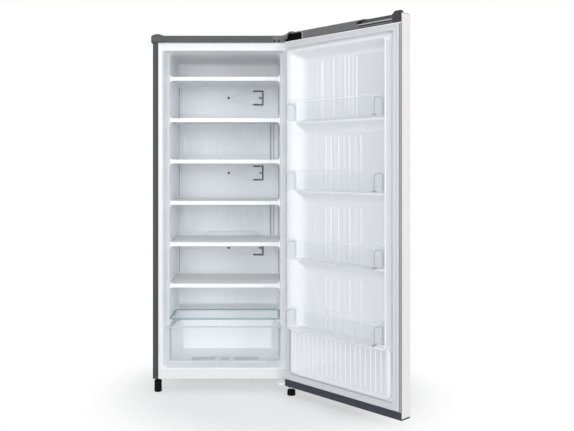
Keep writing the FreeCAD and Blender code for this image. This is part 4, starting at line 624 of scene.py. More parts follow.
def door_lining(materials):
    """The door's moulded inner face: flange, tall rim with a narrow crest, ribbed field and apron."""
    shape = Shape(door)

    def inner(share, height, radius):
        """Between the crest's inner edge, at share 0, and the field's edge, at share 1."""
        sides = [c + (f - c) * share for c, f in zip(CREST, FIELD)]
        return upright(height, *sides, radius)

    flange = (4.0, DOOR_WIDTH - 4.0, LINER_LOW + 1.0, LINER_HIGH - 0.5, 3.0)
    rings = [
        upright(-1.5, *flange), upright(0.0, *flange), rim_ring(11.0, 0.0, 30.0), rim_ring(7.0, 1.2, 28.0),
        rim_ring(3.2, 4.0, 25.5), rim_ring(1.0, 9.0, 24.0), rim_ring(-3.2, RIM_HEIGHT - 5.0, 20.0),
        rim_ring(-4.2, RIM_HEIGHT - 1.8, 19.0), rim_ring(-6.0, RIM_HEIGHT - 0.2, 18.0),
    ]
    rings += [inner(step / 16.0, rim_fall(step / 16.0), 17.0 - step * 0.3) for step in range(17)]
    shape.loft(rings, False, True)
    piece = add_piece(
        "door_lining", shape, [materials["door_lining"], materials["rim_side_painted_shade"]], "door",
        ("door_inner_liner",), angle=50.0, thick=1.4,
    )
    flat = max(piece.data.polygons, key=lambda polygon: polygon.area)
    if flat.normal.dot(INWARD) < 0:
        piece.data.flip_normals()
    # Painted shade: faces beyond the rim's far side take the darker copy of the lining
    far_side = door(RIM_FAR_SIDE, 0.0, 0.0).dot(ALONG)
    for polygon in piece.data.polygons:
        polygon.material_index = 1 if polygon.center.dot(ALONG) > far_side else 0

    # A thin bead in the whiter copy runs along the crest: a painted highlight
    crest = Shape(door)
    crest.loop([
        rim_ring(grow, RIM_HEIGHT + rise, 19.0 + grow * 0.5)
        for grow, rise in ((-3.4, -2.4), (-2.9, -0.6), (-3.5, 0.6), (-4.6, 0.8), (-5.6, 0.1), (-5.8, -1.6))
    ])
    add_piece("door_rim_crest", crest, materials["liner_bead_painted_highlight"], "door", angle=80.0)

    apron = Shape(door)
    a0, a1, z0, _ = RIM

    def apron_ring(grow, height, radius):
        return upright(height, a0 - grow, a1 + grow, z0 - grow, APRON_TOP + 6.0, radius)

    apron.loft(
        [
            apron_ring(1.0, 0.4, 24.0), apron_ring(-1.6, APRON_HEIGHT - 3.5, 22.0),
            apron_ring(-2.6, APRON_HEIGHT - 1.0, 21.0), apron_ring(-4.2, APRON_HEIGHT, 20.0),
            apron_ring(-8.0, APRON_HEIGHT, 18.0), apron_ring(-9.2, APRON_HEIGHT - 0.6, 17.0),
            apron_ring(-11.5, APRON_HEIGHT - 2.6, 16.0),
        ],
        True, True,
    )
    first, last, count = 74.0, 536.0, 20
    for index in range(count):
        at = first + (last - first) * index / (count - 1)
        rib(apron, at, z0 + 18.0, APRON_TOP - 6.0, APRON_HEIGHT - 2.7, 1.9, 4.5)
    add_piece("door_apron", apron, materials["door_lining"], "door", angle=50.0)

    fields = Shape(door)
    tops = [TOP_RIBS_END] + [bin_low - 44.0 for bin_low in BIN_LOWS[:3]]
    for number, (top, bin_low) in enumerate(zip(tops, BIN_LOWS)):
        narrow, wide = LOW_BAY_RIBS if number else TOP_BAY_RIBS
        for a in narrow:
            rib(fields, a, bin_low + 4.0, top - 14.0, 0.0, 2.4, 4.6)
        for a in wide:
            rib(fields, a, bin_low + 4.0, top - 14.0, 0.0, 0.9, 13.0)
    for bin_low in BIN_LOWS:
        ledge(fields, bin_low - 0.3)
        for near_end, far_end in ((BIN_NEAR + 2.5, 80.0), (BIN_FAR + 4.5, BIN_FAR - 2.5)):
            knob(fields, bin_low + 9.0, near_end, far_end)
    add_piece("door_ribs", fields, materials["door_lining"], "door", angle=50.0)


def door_foam(materials):
    """The door's foam, filled right up behind its lining."""
    plate = (6.0, DOOR_WIDTH - 6.0, LINER_LOW + 3.0, LINER_HIGH - 3.0, 3.0)
    rings = [
        upright(-29.0, *plate), upright(-2.4, *plate),
        upright(-2.4, 51.0, 548.0, APRON_TOP + 3.0, 1418.0, 20.0),
        upright(RIM_HEIGHT - 6.0, 54.0, 545.5, APRON_TOP + 6.0, 1414.5, 16.0),
        upright(RIM_HEIGHT - 7.0, 58.5, 543.5, APRON_TOP + 11.0, 1410.0, 14.0),
    ]
    for share in (0.2, 0.35, 0.5, 0.65, 0.8, 0.95):
        near, top = [CREST[side] + (FIELD[side] - CREST[side]) * share for side in (0, 3)]
        rings.append(upright(
            rim_fall(share) - 4.2, near - 1.0, CREST[1] - 4.5 * share + 0.6,
            CREST[2] + 1.0 + 12.0 * share, top + 1.0, 13.0,
        ))
    shape = Shape(door)
    shape.loft(rings, True, True)
    add_piece("door_foam", shape, materials["foam"], "door", ("door_insulation",))


def rib(shape, a, low, high, base, height, width):
    """A long moulded rib with a rounded back and sloping ends."""
    section = [(-0.5, -0.3), (-0.36, 0.5), (-0.18, 0.9), (0.0, 1.0), (0.18, 0.9), (0.36, 0.5), (0.5, -0.3)]
    rings = []
    for z, share in (
        (low, 0.0), (low + 6.0, 0.8), (low + 10.0, 1.0), (high - 10.0, 1.0), (high - 6.0, 0.8), (high, 0.0),
    ):
        rings.append([(a + u * width, base + (v * height * share if v > 0 else v), z) for u, v in section])
    shape.loft(rings, True, True)


def ledge(shape, top):
    """The moulded step that a bin stands on: a long cove below it, and rounded far corners."""
    rings = []
    for a, share in (
        (64.0, 0.35), (84.0, 0.66), (104.0, 0.84), (128.0, 0.95), (156.0, 1.0), (500.0, 1.0),
        (515.0, 0.985), (527.0, 0.93), (534.0, 0.84), (538.5, 0.70), (541.0, 0.5),
    ):
        depth = 29.5 * share
        section = [
            (-0.4, top), (depth - 2.5, top), (depth - 0.7, top - 0.7), (depth, top - 2.5),
            (depth - 0.2, top - 6.0),
        ]
        for step in range(11):
            fall = step / 10.0
            section.append((depth * (1.0 - fall) ** 2.2 * 0.96 - 0.25 * fall, top - 8.5 - 46.0 * fall))
        section.append((-0.6, top - 56.0))
        rings.append([(a, db, z) for db, z in section])
    shape.loft(rings, True, True)


def knob(shape, z, a0, a1):
    """A short round peg that holds a bin's end."""
    rings = []
    for a, radius in ((a0, 3.0), (a1 + (a0 - a1) * 0.25, 3.0), (a1 + (a0 - a1) * 0.05, 2.6), (a1, 1.6)):
        rings.append([
            (a, 15.0 + radius * math.cos(math.radians(t)), z + radius * math.sin(math.radians(t)))
            for t in range(0, 360, 30)
        ])
    shape.loft(rings, True, True)


def glass_plate(materials):
    """The toughened glass shelf: a clear plate with ground, green edges."""
    low, high = STEP_TOP - 5.0, STEP_TOP
    shape = Shape(row)

    def ring(inset, z):
        sides = (-237.5 + inset, 237.5 - inset, 87.0 + inset, 303.0 - inset)
        return [(x, y, z) for x, y in round_rect(*sides, 12.0)]

    shape.loft([ring(0.8, low), ring(0.0, low + 0.8), ring(0.0, high - 0.8), ring(0.8, high)], True, True)
    piece = add_piece(
        "glass_plate", shape, [materials["tempered_glass"], materials["glass_edge"]],
        "glass_shelf", ("glass_shelf",),
    )
    for polygon in piece.data.polygons:
        polygon.material_index = 0 if abs(polygon.normal.z) > 0.95 else 1
    piece.visible_shadow = False


def drawer_tub(materials):
    """The drawer's tub: milky floor, sides and back with rounded corners, and a clear front wall."""
    half, front, rear, low, high, wall = 235.0, 81.0, 299.0, 109.3, 255.3, 3.0
    shape = Shape(row)

    def ring(inset, z, back_radius):
        x0, x1, y0, y1 = inset - half, half - inset, front + inset, rear - inset
        points = []
        for cx, cy, start, bend in (
            (x1 - 1.5, y0 + 1.5, -90.0, 1.5), (x1 - back_radius, y1 - back_radius, 0.0, back_radius),
            (x0 + back_radius, y1 - back_radius, 90.0, back_radius), (x0 + 1.5, y0 + 1.5, 180.0, 1.5),
        ):
            for x, y in arc(cx, cy, bend, start, 90.0, 6):
                points.append((x * (1.0 - 0.115 * (y - front) / (rear - front)), y, z))
        return points

    shape.loft(
        [
            ring(4.0, low, 14.0), ring(1.2, low + 1.2, 15.0), ring(0.0, low + 4.0, 16.0),
            ring(0.0, high - 0.8, 16.0), ring(0.8, high, 15.2), ring(wall - 0.8, high, 13.6),
            ring(wall, high - 0.8, 13.0), ring(wall, low + 9.0, 13.0), ring(wall + 1.8, low + 5.0, 11.5),
            ring(wall + 6.0, low + wall, 9.0),
        ],
        True, True,
    )
    piece = add_piece(
        "drawer_tub", shape,
        [materials["milky_drawer"], materials["clear_drawer"], materials["drawer_rim"]],
        "drawer", ("drawer_box",),
    )
    front_edge = row(0.0, front + wall + 1.0, 0.0).y
    for polygon in piece.data.polygons:
        clear = polygon.center.y < front_edge and abs(polygon.normal.y) > 0.8
        rim = polygon.normal.z > 0.6 and polygon.center.z > (high - 2.0) * MM
        polygon.material_index = 1 if clear else (2 if rim else 0)
    piece.visible_shadow = False


def drawer_edges(materials):
    """The drawer front's thick rounded rim, its rolled pull lip and the rims of its slots, painted dark as
    their shade.
    """
    half, low, high = 250.0, 113.0, 261.0
    rim = Shape(row)

    def frame_ring(inset, y):
        return upright(y, inset - half, half - inset, low + inset, high - inset, 5.0 - inset * 0.4)

    rim.loop([
        frame_ring(inset, y) for inset, y in (
            (0.0, 80.6), (0.0, 78.4), (0.9, 77.4), (2.8, 77.3), (3.8, 78.2), (4.0, 80.8), (3.2, 81.2),
            (0.8, 81.2),
        )
    ])
    add_piece("drawer_front_rim", rim, materials["drawer_edge"], "drawer")
    lip = Shape(row)
    rings = []
    for x, share in ((-248.0, 0.5), (-244.0, 0.9), (-240.0, 1.0), (240.0, 1.0), (244.0, 0.9), (248.0, 0.5)):
        rings.append([
            (x, 78.0 - out * share, high + up) for out, up in (
                (0.0, -0.1), (5.6, -0.1), (6.8, -1.0), (6.8, -4.6), (5.8, -5.0), (5.0, -4.2), (4.8, -3.0),
                (0.0, -3.2),
            )
        ])
    lip.loft(rings, True, True)
    add_piece("drawer_pull_lip", lip, materials["bin_rim"], "drawer")
    # Painted shade: the slots' rims in the dark grey
    slots = Shape(row)
    for start, end in ((-138.0, -43.0), (-14.5, 14.5), (43.0, 138.0)):
        slots.loop([
            upright(y, start + inset, end - inset, 121.0 + inset, 126.0 - inset, 2.2) for inset, y in (
                (-1.4, 77.9), (-1.4, 77.3), (-0.2, 77.2), (0.2, 77.8), (0.2, 81.0), (-0.6, 81.1),
                (-1.2, 80.6),
            )
        ])
    add_piece("drawer_slot_rims", slots, materials["dark_bead_painted_shade"], "drawer")


def duct_details(materials):
    """Dark strips of painted shade down the bays' rear corners and joints, paler painted-shade grooves beside
    the fluted panels, and a low moulded hump.
    """
    seams = Shape(row)
    soft = Shape(row)
    for level in range(6):
        low, high = SHELF_TOPS[level] - 178.2 + 1.0, SHELF_TOPS[level] - SHELF_PLATE - 1.0
        if level in (0, 2, 4):
            seams.box((-235.0, 420.9, low), (-233.2, 423.0, high))
            seams.box((236.0, 417.9, low), (237.6, 420.0, high))
        elif level in (1, 3):
            seams.box((197.0, 420.5, low), (200.5, 421.3, high))
            soft.box((203.5, 420.6, low), (206.0, 421.3, high))
            soft.box((211.5, 420.6, low), (216.5, 421.3, high))
            seams.box((236.0, 417.9, low), (238.4, 420.0, high))
            soft.box((-235.0, 420.9, low), (-233.6, 423.0, high))
    add_piece("duct_seams", seams, materials["joint_painted_shade"], "cabinet")
    add_piece("duct_grooves", soft, materials["groove_painted_shade"], "cabinet")
    hump = Shape(row)
    rings = []
    for x, share in ((-122.0, 0.05), (-104.0, 0.7), (-88.0, 1.0), (118.0, 1.0), (136.0, 0.7), (154.0, 0.05)):
        depth, height = 22.0 * share, 22.0 * share
        rings.append([
            (x, 422.0, 622.4), (x, 421.0 - depth, 622.4), (x, 421.0 - depth * 0.92, 622.4 + height * 0.55),
            (x, 421.0 - depth * 0.72, 622.4 + height * 0.9), (x, 421.0 - depth * 0.5, 622.4 + height),
            (x, 422.0, 622.4 + height),
        ])
    hump.loft(rings, True, True)
    add_piece("duct_hump", hump, materials["duct_cover"], "cabinet", angle=50.0)


def gasket(materials):
    """The magnetic seal: a hollow head on a folded foot, mitred round the door."""
    section = [
        (3.0, 0.2), (0.8, 0.8), (0.4, 2.6), (2.2, 3.8), (2.4, 4.6), (0.6, 5.8), (0.0, 7.2), (0.5, 8.8),
        (2.0, 9.4),
        (7.5, 9.4), (8.6, 8.7), (10.0, 8.6), (15.0, 8.6), (16.2, 9.2), (20.5, 9.4), (22.8, 9.0), (23.8, 7.6),
        (23.4, 6.0), (21.4, 4.8), (21.6, 3.8), (23.4, 2.4), (22.8, 0.6), (20.0, 0.2),
    ]
    shape = Shape(door)
    shape.loop([
        upright(
            height, 11.0 + inset, DOOR_WIDTH - 11.0 - inset, LINER_LOW + 5.5 + inset,
            LINER_HIGH - 5.5 - inset, max(5.0 - inset * 0.15, 1.0), 4,
        )
        for inset, height in section
    ])
    add_piece("door_seal", shape, materials["seal"], "door", ("door_gasket",), angle=60.0)


# ---------------------------------------------------------------- clear bins


def bin_piece(number, materials):
    """A clear bin: rounded front corners, a thick rolled lip, a stepped foot, an outline bead on each end
    wall and two small dark marks of painted shade.
    """
    low = BIN_LOWS[number]
    top = low + BIN_HEIGHT
    wall = 2.3
    shape = Shape(door)

    def ring(inset, z, radius, back=0.0):
        a0, a1, d0, d1 = BIN_NEAR + inset, BIN_FAR - inset, 2.8 + back, 87.0 - inset
        points = []
        for cx, cy, start, bend in (
            (a0 + radius, d1 - radius, 180.0, radius), (a1 - radius, d1 - radius, 90.0, radius),
            (a1 - 2.0, d0 + 2.0, 0.0, 2.0), (a0 + 2.0, d0 + 2.0, -90.0, 2.0),
        ):
            points += [(a, db, z) for a, db in arc(cx, cy, bend, start, -90.0, 6)]
        return points

    shape.loft(
        [
            ring(3.2, low, 11.0, 3.2), ring(1.6, low + 0.6, 12.0, 1.6), ring(1.0, low + 2.4, 12.5, 1.0),
            ring(0.9, low + 8.0, 12.5, 0.9), ring(0.3, low + 10.0, 13.0, 0.3),
            ring(0.2, top - 9.0, 13.0), ring(0.0, top - 8.0, 13.0), ring(0.0, top - 1.2, 13.0),
            ring(0.5, top - 0.2, 12.6, 0.5), ring(1.4, top, 12.0, 1.4), ring(2.6, top - 0.3, 11.0, 2.6),
            ring(3.2, top - 1.4, 10.5, 3.2), ring(wall + 0.3, top - 8.5, 11.0, wall),
            ring(wall + 0.9, low + 11.0, 11.0, wall), ring(wall + 2.0, low + 5.0, 10.5, wall + 1.5),
            ring(wall + 5.0, low + 3.0, 9.0, wall + 5.0),
        ],
        True, True,
    )
    body = f"door_bin_{number + 1}"
    piece = add_piece(
        f"clear_bin_{number + 1}", shape,
        [materials["clear_bin"], materials["bin_rim"], materials["bin_end"]],
        body, (body,), angle=40.0,
    )
    for polygon in piece.data.polygons:
        near = (polygon.center - door(200.0, 0.0, 0.0)).dot(ALONG) < 0.0
        end = near and abs(polygon.normal.dot(ALONG)) > 0.9
        rim = polygon.center.z > (top - 2.0) * MM or polygon.center.z < (low + 1.0) * MM
        polygon.material_index = 1 if rim else (2 if end else 0)
    piece.visible_shadow = False
    # Painted shade: the end walls' outline bead in the dark grey
    bead = Shape(door)
    for a, way in ((BIN_FAR - wall - 0.2, 1.0), (BIN_NEAR + wall + 0.2, -1.0)):
        path = [(78.0, low + 10.0), (78.0, top - 22.0), (76.0, top - 15.0), (70.0, top - 12.0),
                (38.0, top - 12.0), (32.0, top - 15.0), (30.0, top - 22.0), (30.0, low + 10.0)]
        rings = []
        for index, (db, z) in enumerate(path):
            before, after = path[max(index - 1, 0)], path[min(index + 1, len(path) - 1)]
            run = Vector((after[0] - before[0], after[1] - before[1])).normalized()
            side = Vector((run.y, -run.x))
            ring_points = []
            for turn in range(0, 360, 60):
                out, in_plane = 1.2 * math.cos(math.radians(turn)), 1.2 * math.sin(math.radians(turn))
                ring_points.append((a - way * (0.3 + out), db + side.x * in_plane, z + side.y * in_plane))
            rings.append(ring_points)
        bead.loft(rings, True, True)
    bead_piece = add_piece(
        f"dark_bead_painted_shade_{number + 1}", bead, materials["dark_bead_painted_shade"], body, angle=70.0,
    )
    bead_piece.visible_shadow = False
    # Painted shade: two near-black marks stand for the shaded holes at the bin's far end
    hole_shade = Shape(door)
    for db in (79.5, 65.0):
        hole_shade.box((BIN_FAR - wall - 5.6, db - 2.4, low + 4.0), (BIN_FAR - wall - 3.8, db + 2.4, low + 9.0))
    add_piece(f"bin_hole_shade_{number + 1}", hole_shade, materials["deep_painted_shade"], body)


# ---------------------------------------------------------------- dark trims


def corner_cap(materials):
    """The cap over the cabinet's top left corner: a low hump that falls to the rail."""
    outline = [
        (-303.8, 1467.5), (-304.0, 1490.0), (-302.0, 1494.0), (-297.0, 1498.5), (-288.0, 1501.5),
        (-276.0, 1503.0), (-269.0, 1502.8), (-262.0, 1499.5), (-252.0, 1496.4), (-244.0, 1495.0),
        (-243.0, 1494.4), (-243.0, 1467.5),
    ]
    shape = Shape(row)
    rings = []
    for y, shrink, drop in (
        (-6.6, 2.2, 2.0), (-6.2, 0.9, 0.8), (-4.6, 0.0, 0.0), (20.0, 0.0, 0.0), (33.0, 0.3, 1.0),
        (35.6, 1.6, 3.0),
    ):
        ring = []
        for x, z in outline:
            nx = min(max(x, -304.0 + shrink), -243.0 - shrink * 0.2)
            nz = min(z, 1503.0 - drop) - (drop * 0.6 if z > 1480 else 0.0)
            ring.append((nx, y, max(nz, 1467.5 + shrink * 0.4)))
        rings.append(ring)
    shape.loft(rings, True, True)
    add_piece(
        "corner_cap", shape, materials["corner_cap"], "cabinet",
        ("left_corner_cap",), angle=40.0,
    )


PIN_X = 282.5
PIN_Y = -33.0


def hinge_shroud(materials):
    """The cover over the upper hinge: an apron, a roof that sweeps up, a rounded nose and a curved skirt."""
    shape = Shape(row)
    right, back, low = 300.3, 96.0, 1467.0

    def roof(x):
        """The cover's height at x: level, then a smooth sweep up to the nose."""
        share = min(max((x - 239.0) / 38.0, 0.0), 1.0)
        return 1496.4 + 11.0 * share * share * (3.0 - 2.0 * share)

    rings = []
    for x in (202.3, 203.1, 220.0, *range(238, 279, 4), 297.8):
        top = roof(x) - (0.8 if x == 202.3 else 0.0)
        face = -2.5 + (0.7 if x == 202.3 else 0.0)
        rise, crown = max(top, 1499.2), max(top, 1502.8)
        rings.append([
            (x, face + 0.9, low), (x, face + 0.9, 1479.5), (x, face, 1481.0), (x, face, top - 3.0),
            (x, face + 0.9, top - 0.9), (x, face + 3.0, top), (x, 13.0, rise), (x, 29.0, crown),
            (x, back - 2.0, crown), (x, back, crown - 2.0), (x, back, 1494.4), (x, back - 2.5, 1494.4),
            (x, back - 2.5, crown - 2.2), (x, 30.0, crown - 2.2), (x, 0.4, top - 2.2),
            (x, -0.3, top - 3.2), (x, -0.3, low),
        ])
    shape.loft(rings, True, True)
    side = [
        (-2.5, low), (-2.5, 1504.0), (-1.4, 1506.4), (1.0, 1507.4), (94.0, 1507.4), (96.0, 1505.4),
        (96.0, low),
    ]
    shape.loft([[(x, y, z) for y, z in side] for x in (297.8, right)], True, True)

    def plan(inset, z):
        x0, x1, y0, y1 = 269.0 + inset, right - inset, -53.0 + inset, 2.0
        radius = 12.0 - inset * 0.5
        points = [(x1, y1, z), (x0, y1, z)]
        for cx, start in ((x0 + radius, 180.0), (x1 - radius, 270.0)):
            points += [(x, y, z) for x, y in arc(cx, y0 + radius, radius, start, 90.0, 8)]
        return points

    nose = (
        (0.5, 1499.4), (0.0, 1500.2), (0.0, 1501.8), (1.0, 1503.8), (3.4, 1505.6), (7.5, 1506.9),
        (11.0, 1507.4),
    )
    shape.loft([plan(inset, z) for inset, z in nose], True, True)

    def round_pin(turn, section):
        """A section of (radius, height) at one turn in degrees round the hinge pin."""
        angle = math.radians(turn)
        return [(PIN_X + r * math.cos(angle), PIN_Y + r * math.sin(angle), z) for r, z in section]

    rings = []
    for turn in range(95, 248, 8):
        share = (turn - 95.0) / 152.0
        bottom = 1472.0 + 28.0 * share ** 1.5
        rings.append(round_pin(turn, ((16.6, bottom), (18.2, bottom), (18.4, 1501.0), (16.6, 1501.0))))
    shape.loft(rings, True, True)
    add_piece(
        "hinge_shroud", shape, materials["hinge_cover"], "cabinet",
        ("hinge_cover",), angle=45.0,
    )
    skirt = Shape(row)
    section = ((14.7, 1475.0), (15.9, 1475.0), (15.9, 1499.8), (14.7, 1499.8))
    skirt.loft([round_pin(turn, section) for turn in range(88, 273, 8)], True, True)
    add_piece("hinge_skirt", skirt, materials["pocket_black"], "cabinet")
    # Painted shade: two near-black discs stand for the shaded screw holes in the cover's apron
    screw_hole_shade = Shape(row)
    for x in (213.0, 231.5):
        rings = []
        for radius, y in ((4.7, -1.4), (4.7, -1.9), (4.1, -2.1), (3.4, -1.9), (3.0, -1.65)):
            rings.append([
                (x + radius * math.cos(math.radians(t)), y, 1473.0 + 0.8 * radius * math.sin(math.radians(t)))
                for t in range(0, 360, 18)
            ])
        screw_hole_shade.loft(rings, True, True)
    add_piece("hinge_cover_screw_hole_shade", screw_hole_shade, materials["pocket_black"], "cabinet")


def top_cap(materials):
    """The door's top cap: hinge notch, grip hollow painted dark as its shade, over a lip painted pale as a
    highlight, a groove line of painted shade and end boss.
    """
    shape = Shape(door)

    def plan(a0, a1, front, z, near_round, far_round):
        """An outline at one height: the front edge as given, rounded corners on the door's outer side."""
        points = [(a, db, z) for a, db in front]
        for corner, cx, start, on in ((a1, a1 - 5.0, 0.0, far_round), (a0, a0 + 5.0, -90.0, near_round)):
            if on:
                points += [(a, db, z) for a, db in arc(cx, -48.0, 5.0, start, -90.0, 4)]
            else:
                points += [(corner, -53.0 + 0.01 * step, z) for step in range(5)]
        return points

    notch = [(1.0, 0.0), (100.0, 0.0)]
    shape.loft([plan(1.0, 100.0, notch, z, True, False) for z in (1464.0, 1470.0)], True, True)
    roof = [(36.0, 0.6), (100.6, 0.6)]
    shape.loft([plan(36.0, 100.6, roof, z, False, False) for z in (1493.4, 1498.0)], True, True)
    stations = [100.0, 101.0, 380.0] + [384.0 + 4.0 * k for k in range(12)]
    stations += [440.0, 480.0, 520.0, 548.0, 550.0, 551.0, 553.0, 593.0, 594.0]

    def hollow(a, z):
        """How deep the front is set back at a place along the grip."""
        if z < 1472.6 or a > 551.5:
            return 0.0
        if z < 1477.0:
            return 2.2 if 388.0 < a < 551.0 else 0.0
        if z < 1481.4:
            return 0.0
        start = 386.0 if z <= 1490.0 else 386.0 + (z - 1490.0) * 4.6
        share = min(max((a - start) / 7.0, 0.0), 1.0) * (1.0 if a < 550.5 else 0.0)
        deep = min((z - 1481.4) * 5.0, 14.0) - max(z - 1493.0, 0.0) * 0.5
        return deep * share

    rings = []
    for z in (
        1464.0, 1472.4, 1472.8, 1476.6, 1477.0, 1481.3, 1481.8, 1482.6, 1483.6, 1484.8, 1487.0, 1490.0,
        1492.0, 1494.0, 1496.0, 1497.4, 1498.0,
    ):
        inset = 0.7 if z == 1498.0 else 0.0
        front = [(min(max(a, 100.0 + inset), 594.0 - inset), -hollow(a, z) - inset) for a in stations]
        rings.append(plan(100.0 + inset, 594.0 - inset, front, z, False, True))
    shape.loft(rings, True, True)
    piece = add_piece(
        "door_cap_top", shape,
        [materials["door_top_trim"], materials["deep_painted_shade"], materials["grip_grey_painted_shade"]],
        "door", ("door_top_cap",), angle=40.0,
    )
    # Painted shade in the grip hollow: its pointed start and the set-back strip under the lip take the near
    # black, the rest the darker copy of the trim
    face = door(300.0, -1.2, 0.0).dot(INWARD)
    rear = door(300.0, -16.0, 0.0).dot(INWARD)
    near_end = door(384.0, 0.0, 0.0)
    for polygon in piece.data.polygons:
        inside = rear < polygon.center.dot(INWARD) < face and 1.4725 < polygon.center.z < 1.4962
        reach = (polygon.center - near_end).dot(ALONG)
        if inside and 0.0 < reach < 0.168:
            polygon.material_index = 1 if reach < 0.017 or polygon.center.z < 1.478 else 2

    boss = Shape(door)
    corner = [
        (552.4, 1465.0), (552.4, 1495.0), (555.0, 1498.6), (560.0, 1503.4), (563.5, 1506.2),
        (567.0, 1507.2), (588.0, 1507.2), (592.4, 1505.8), (594.6, 1501.6), (594.6, 1465.0),
    ]
    rings = []
    for db, inset in ((-10.0, 0.8), (-9.2, 0.0), (-0.3, 0.0), (0.5, 0.8)):
        rings.append([
            (574.0 + (a - 574.0) * (1.0 - inset / 20.6), db, min(z, 1507.2 - inset)) for a, z in corner
        ])
    boss.loft(rings, True, True)
    add_piece("door_cap_boss", boss, materials["cap_boss"], "door", angle=40.0)

    # Painted shade: a near-black strip stands for the shade in the groove along the cap's foot
    groove = Shape(door)
    section = ((-0.4, 1464.3), (0.45, 1464.3), (0.6, 1465.4), (0.3, 1466.9), (-0.4, 1466.9))
    groove.loft(
        [
            [(a, db, 1465.6 + (z - 1465.6) * share) for db, z in section]
            for a, share in ((130.0, 0.1), (240.0, 0.6), (330.0, 1.0), (551.0, 1.0))
        ],
        True, True,
    )
    add_piece("cap_groove", groove, materials["deep_painted_shade"], "door")

    # The lip's pale grey is a painted highlight
    lip = Shape(door)
    section = (
        (-2.0, 1477.2), (0.6, 1477.2), (1.2, 1478.0), (1.3, 1479.6), (0.9, 1480.9), (0.0, 1481.7),
        (-2.0, 1481.9),
    )
    rings = []
    for a, share in ((386.0, 0.15), (392.0, 0.7), (400.0, 1.0), (549.0, 1.0), (551.0, 0.8)):
        rings.append([
            (a, db if db < 0.0 else db * share, 1479.5 + (z - 1479.5) * share) for db, z in section
        ])
    lip.loft(rings, True, True)
    add_piece("grip_lip_painted_highlight", lip, materials["grip_lip_painted_highlight"], "door", angle=60.0)


def pocket(materials):
    """The black insert of the hinge notch: a face with a rounded corner, its floor and its raised block."""
    shape = Shape(door)
    outline = [
        (1.2, 1464.7), (1.2, 1474.0), (33.6, 1474.0), (34.2, 1474.6), (34.2, 1491.6), (35.4, 1493.0),
        (93.0, 1493.2), *arc(93.0, 1487.2, 6.0, 90.0, -90.0, 6)[1:], (99.0, 1464.7),
    ]
    rings = []
    for db in (-0.6, 0.5, 0.8):
        inset = 0.4 if db == 0.8 else 0.0
        wide, tall = 1.0 - inset / 50.0, 1.0 - inset / 16.0
        rings.append([(50.0 + (a - 50.0) * wide, db, 1480.0 + (z - 1480.0) * tall) for a, z in outline])
    shape.loft(rings, True, True)
    floor = (
        (1.2, 1470.0), (1.2, 1474.0), (33.6, 1474.0), (34.0, 1474.6), (34.0, 1493.0), (99.0, 1493.0),
        (99.0, 1470.0),
    )
    shape.loft([[(a, db, z) for a, z in floor] for db in (-47.0, -0.6)], True, True)
    shape.loft([[(a if a > 2.0 else 6.0, db, z) for a, z in floor] for db in (-52.6, -47.0)], True, True)
    add_piece(
        "hinge_pocket", shape, materials["pocket_black"], "door",
        ("hinge_pocket_insert",), angle=40.0,
    )
    # The border's pale grey is a painted highlight along the notch's rounded edge
    border = Shape(door)
    path = [(92.0, 1493.6), *arc(93.0, 1487.2, 7.2, 90.0, -90.0, 6), (100.2, 1465.0)]
    section = ((-1.3, 0.0), (-0.9, 1.2), (0.6, 1.5), (1.5, 0.9), (1.7, 0.0))
    rings = []
    for a, z in path:
        out = Vector((a - 93.0, max(z - 1487.2, 0.0))).normalized() if z > 1465.0 else Vector((1.0, 0.0))
        out = Vector((0.0, 1.0)) if a < 92.5 else out
        rings.append([(a + out.x * wide, db, z + out.y * wide) for wide, db in section])
    border.loft(rings, True, True)
    add_piece("hinge_pocket_border", border, materials["grip_lip_painted_highlight"], "door")


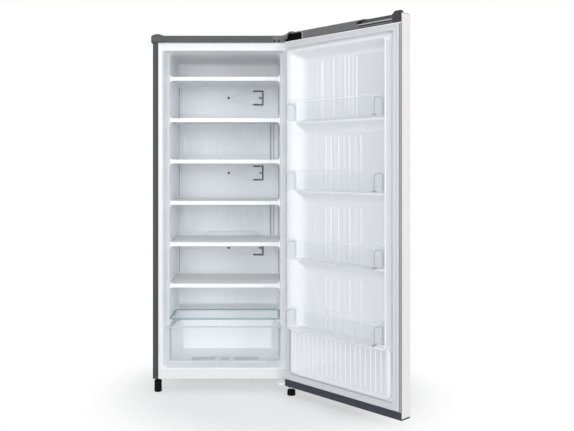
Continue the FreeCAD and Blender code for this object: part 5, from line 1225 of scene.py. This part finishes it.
def door_edges(materials):
    """The lining's rolled top edge, whitened as a painted highlight, and the grooved strip between the seal
    and the skin, greyed with dark lines as painted shade.
    """
    # The top edge's bead is in the whiter copy: a painted highlight
    bead = Shape(door)
    section = (
        (-1.0, 1459.0), (1.2, 1459.2), (2.3, 1460.4), (2.6, 1462.0), (1.9, 1463.6), (0.4, 1464.2),
        (-0.6, 1464.2),
    )
    bead.loft([[(a, db, z) for db, z in section] for a in (4.0, 5.0, 583.0, 592.0)], True, True)
    add_piece("liner_top_edge", bead, materials["liner_bead_painted_highlight"], "door", angle=60.0)
    strip = Shape(door)
    profile = [
        (582.8, -1.6), (582.8, 0.4), (583.4, 1.0), (584.6, 1.0), (585.2, 0.2), (586.8, 0.2), (587.4, 1.0),
        (592.0, 1.0), (592.8, 0.3), (594.9, 0.1), (594.9, -1.6),
    ]
    strip.loft([[(a, db, z) for a, db in profile] for z in (68.6, 69.4, 1462.0, 1462.8)], True, True)
    piece = add_piece(
        "door_edge_strip", strip, [materials["edge_strip_painted_shade"], materials["edge_line_painted_shade"]],
        "door",
    )
    # Painted shade: the groove's floor and the outer edge take the near-black lines, the rest of the strip
    # the mid-grey
    for polygon in piece.data.polygons:
        across = (polygon.center - door(0.0, 0.0, 0.0)).dot(ALONG) / MM
        polygon.material_index = 1 if 585.0 < across < 587.0 or across > 592.6 else 0


def foot_profile(radius, height, neck):
    return [
        (radius - 3.5, 0.0), (radius - 1.2, 0.6), (radius, 2.4), (radius, 8.0), (radius - 0.5, height * 0.55),
        (radius - 0.2, height - 6.0), (radius - 1.0, height - 2.6), (radius - 3.4, height - 0.6),
        (neck + 2.5, height), (neck, height), (neck, height + 0.4),
    ]


def feet(materials):
    """Two black levelling feet with soft shoulders on threaded stems."""
    for name, x, y, radius, height, stem, top in (
        ("front_left_foot", -278.0, 20.0, 15.8, 50.0, 4.0, 64.5),
        ("front_right_foot", PIN_X, PIN_Y, 17.3, 23.9, 3.0, 33.8),
    ):
        shape = Shape(row)
        profile = foot_profile(radius, height, stem)
        z = height + 0.4
        while z < top - 1.6:
            profile += [(stem, z + 0.4), (stem - 0.45, z + 0.8), (stem, z + 1.2)]
            z += 1.2
        profile.append((stem - 0.6, top))
        shape.lathe((x, y), profile)
        add_piece(
            f"{name}_moulded", shape, materials["black_plastic"], name, (name,),
            angle=40.0,
        )


make_camera()
bpy.context.scene.view_settings.view_transform = "Standard"
seen_white(0.36)
make_floor()
area_lamp("above", (-0.5, -2.3, 3.9), (0.0, 0.0, 0.6), (2.6, 2.0), 24.0)
area_lamp("left", (-5.0, -6.6, 2.6), (-0.1, 0.0, 0.8), (3.0, 3.0), 35.0)
area_lamp("right", (4.2, -7.0, 1.5), (-0.2, 0.0, 0.8), (3.0, 3.0), 135.0)
area_lamp("front", (-1.6, -8.2, 2.0), (-0.1, 0.0, 0.8), (4.0, 4.0), 212.0)
materials = make_materials()
for name in NODES:
    dress_node(name, materials)
lining(materials)
door_lining(materials)
door_foam(materials)
glass_plate(materials)
gasket(materials)
for number in range(4):
    bin_piece(number, materials)
corner_cap(materials)
hinge_shroud(materials)
top_cap(materials)
pocket(materials)
door_edges(materials)
drawer_tub(materials)
drawer_edges(materials)
duct_details(materials)
feet(materials)
NODES["drawer_front"].visible_shadow = False
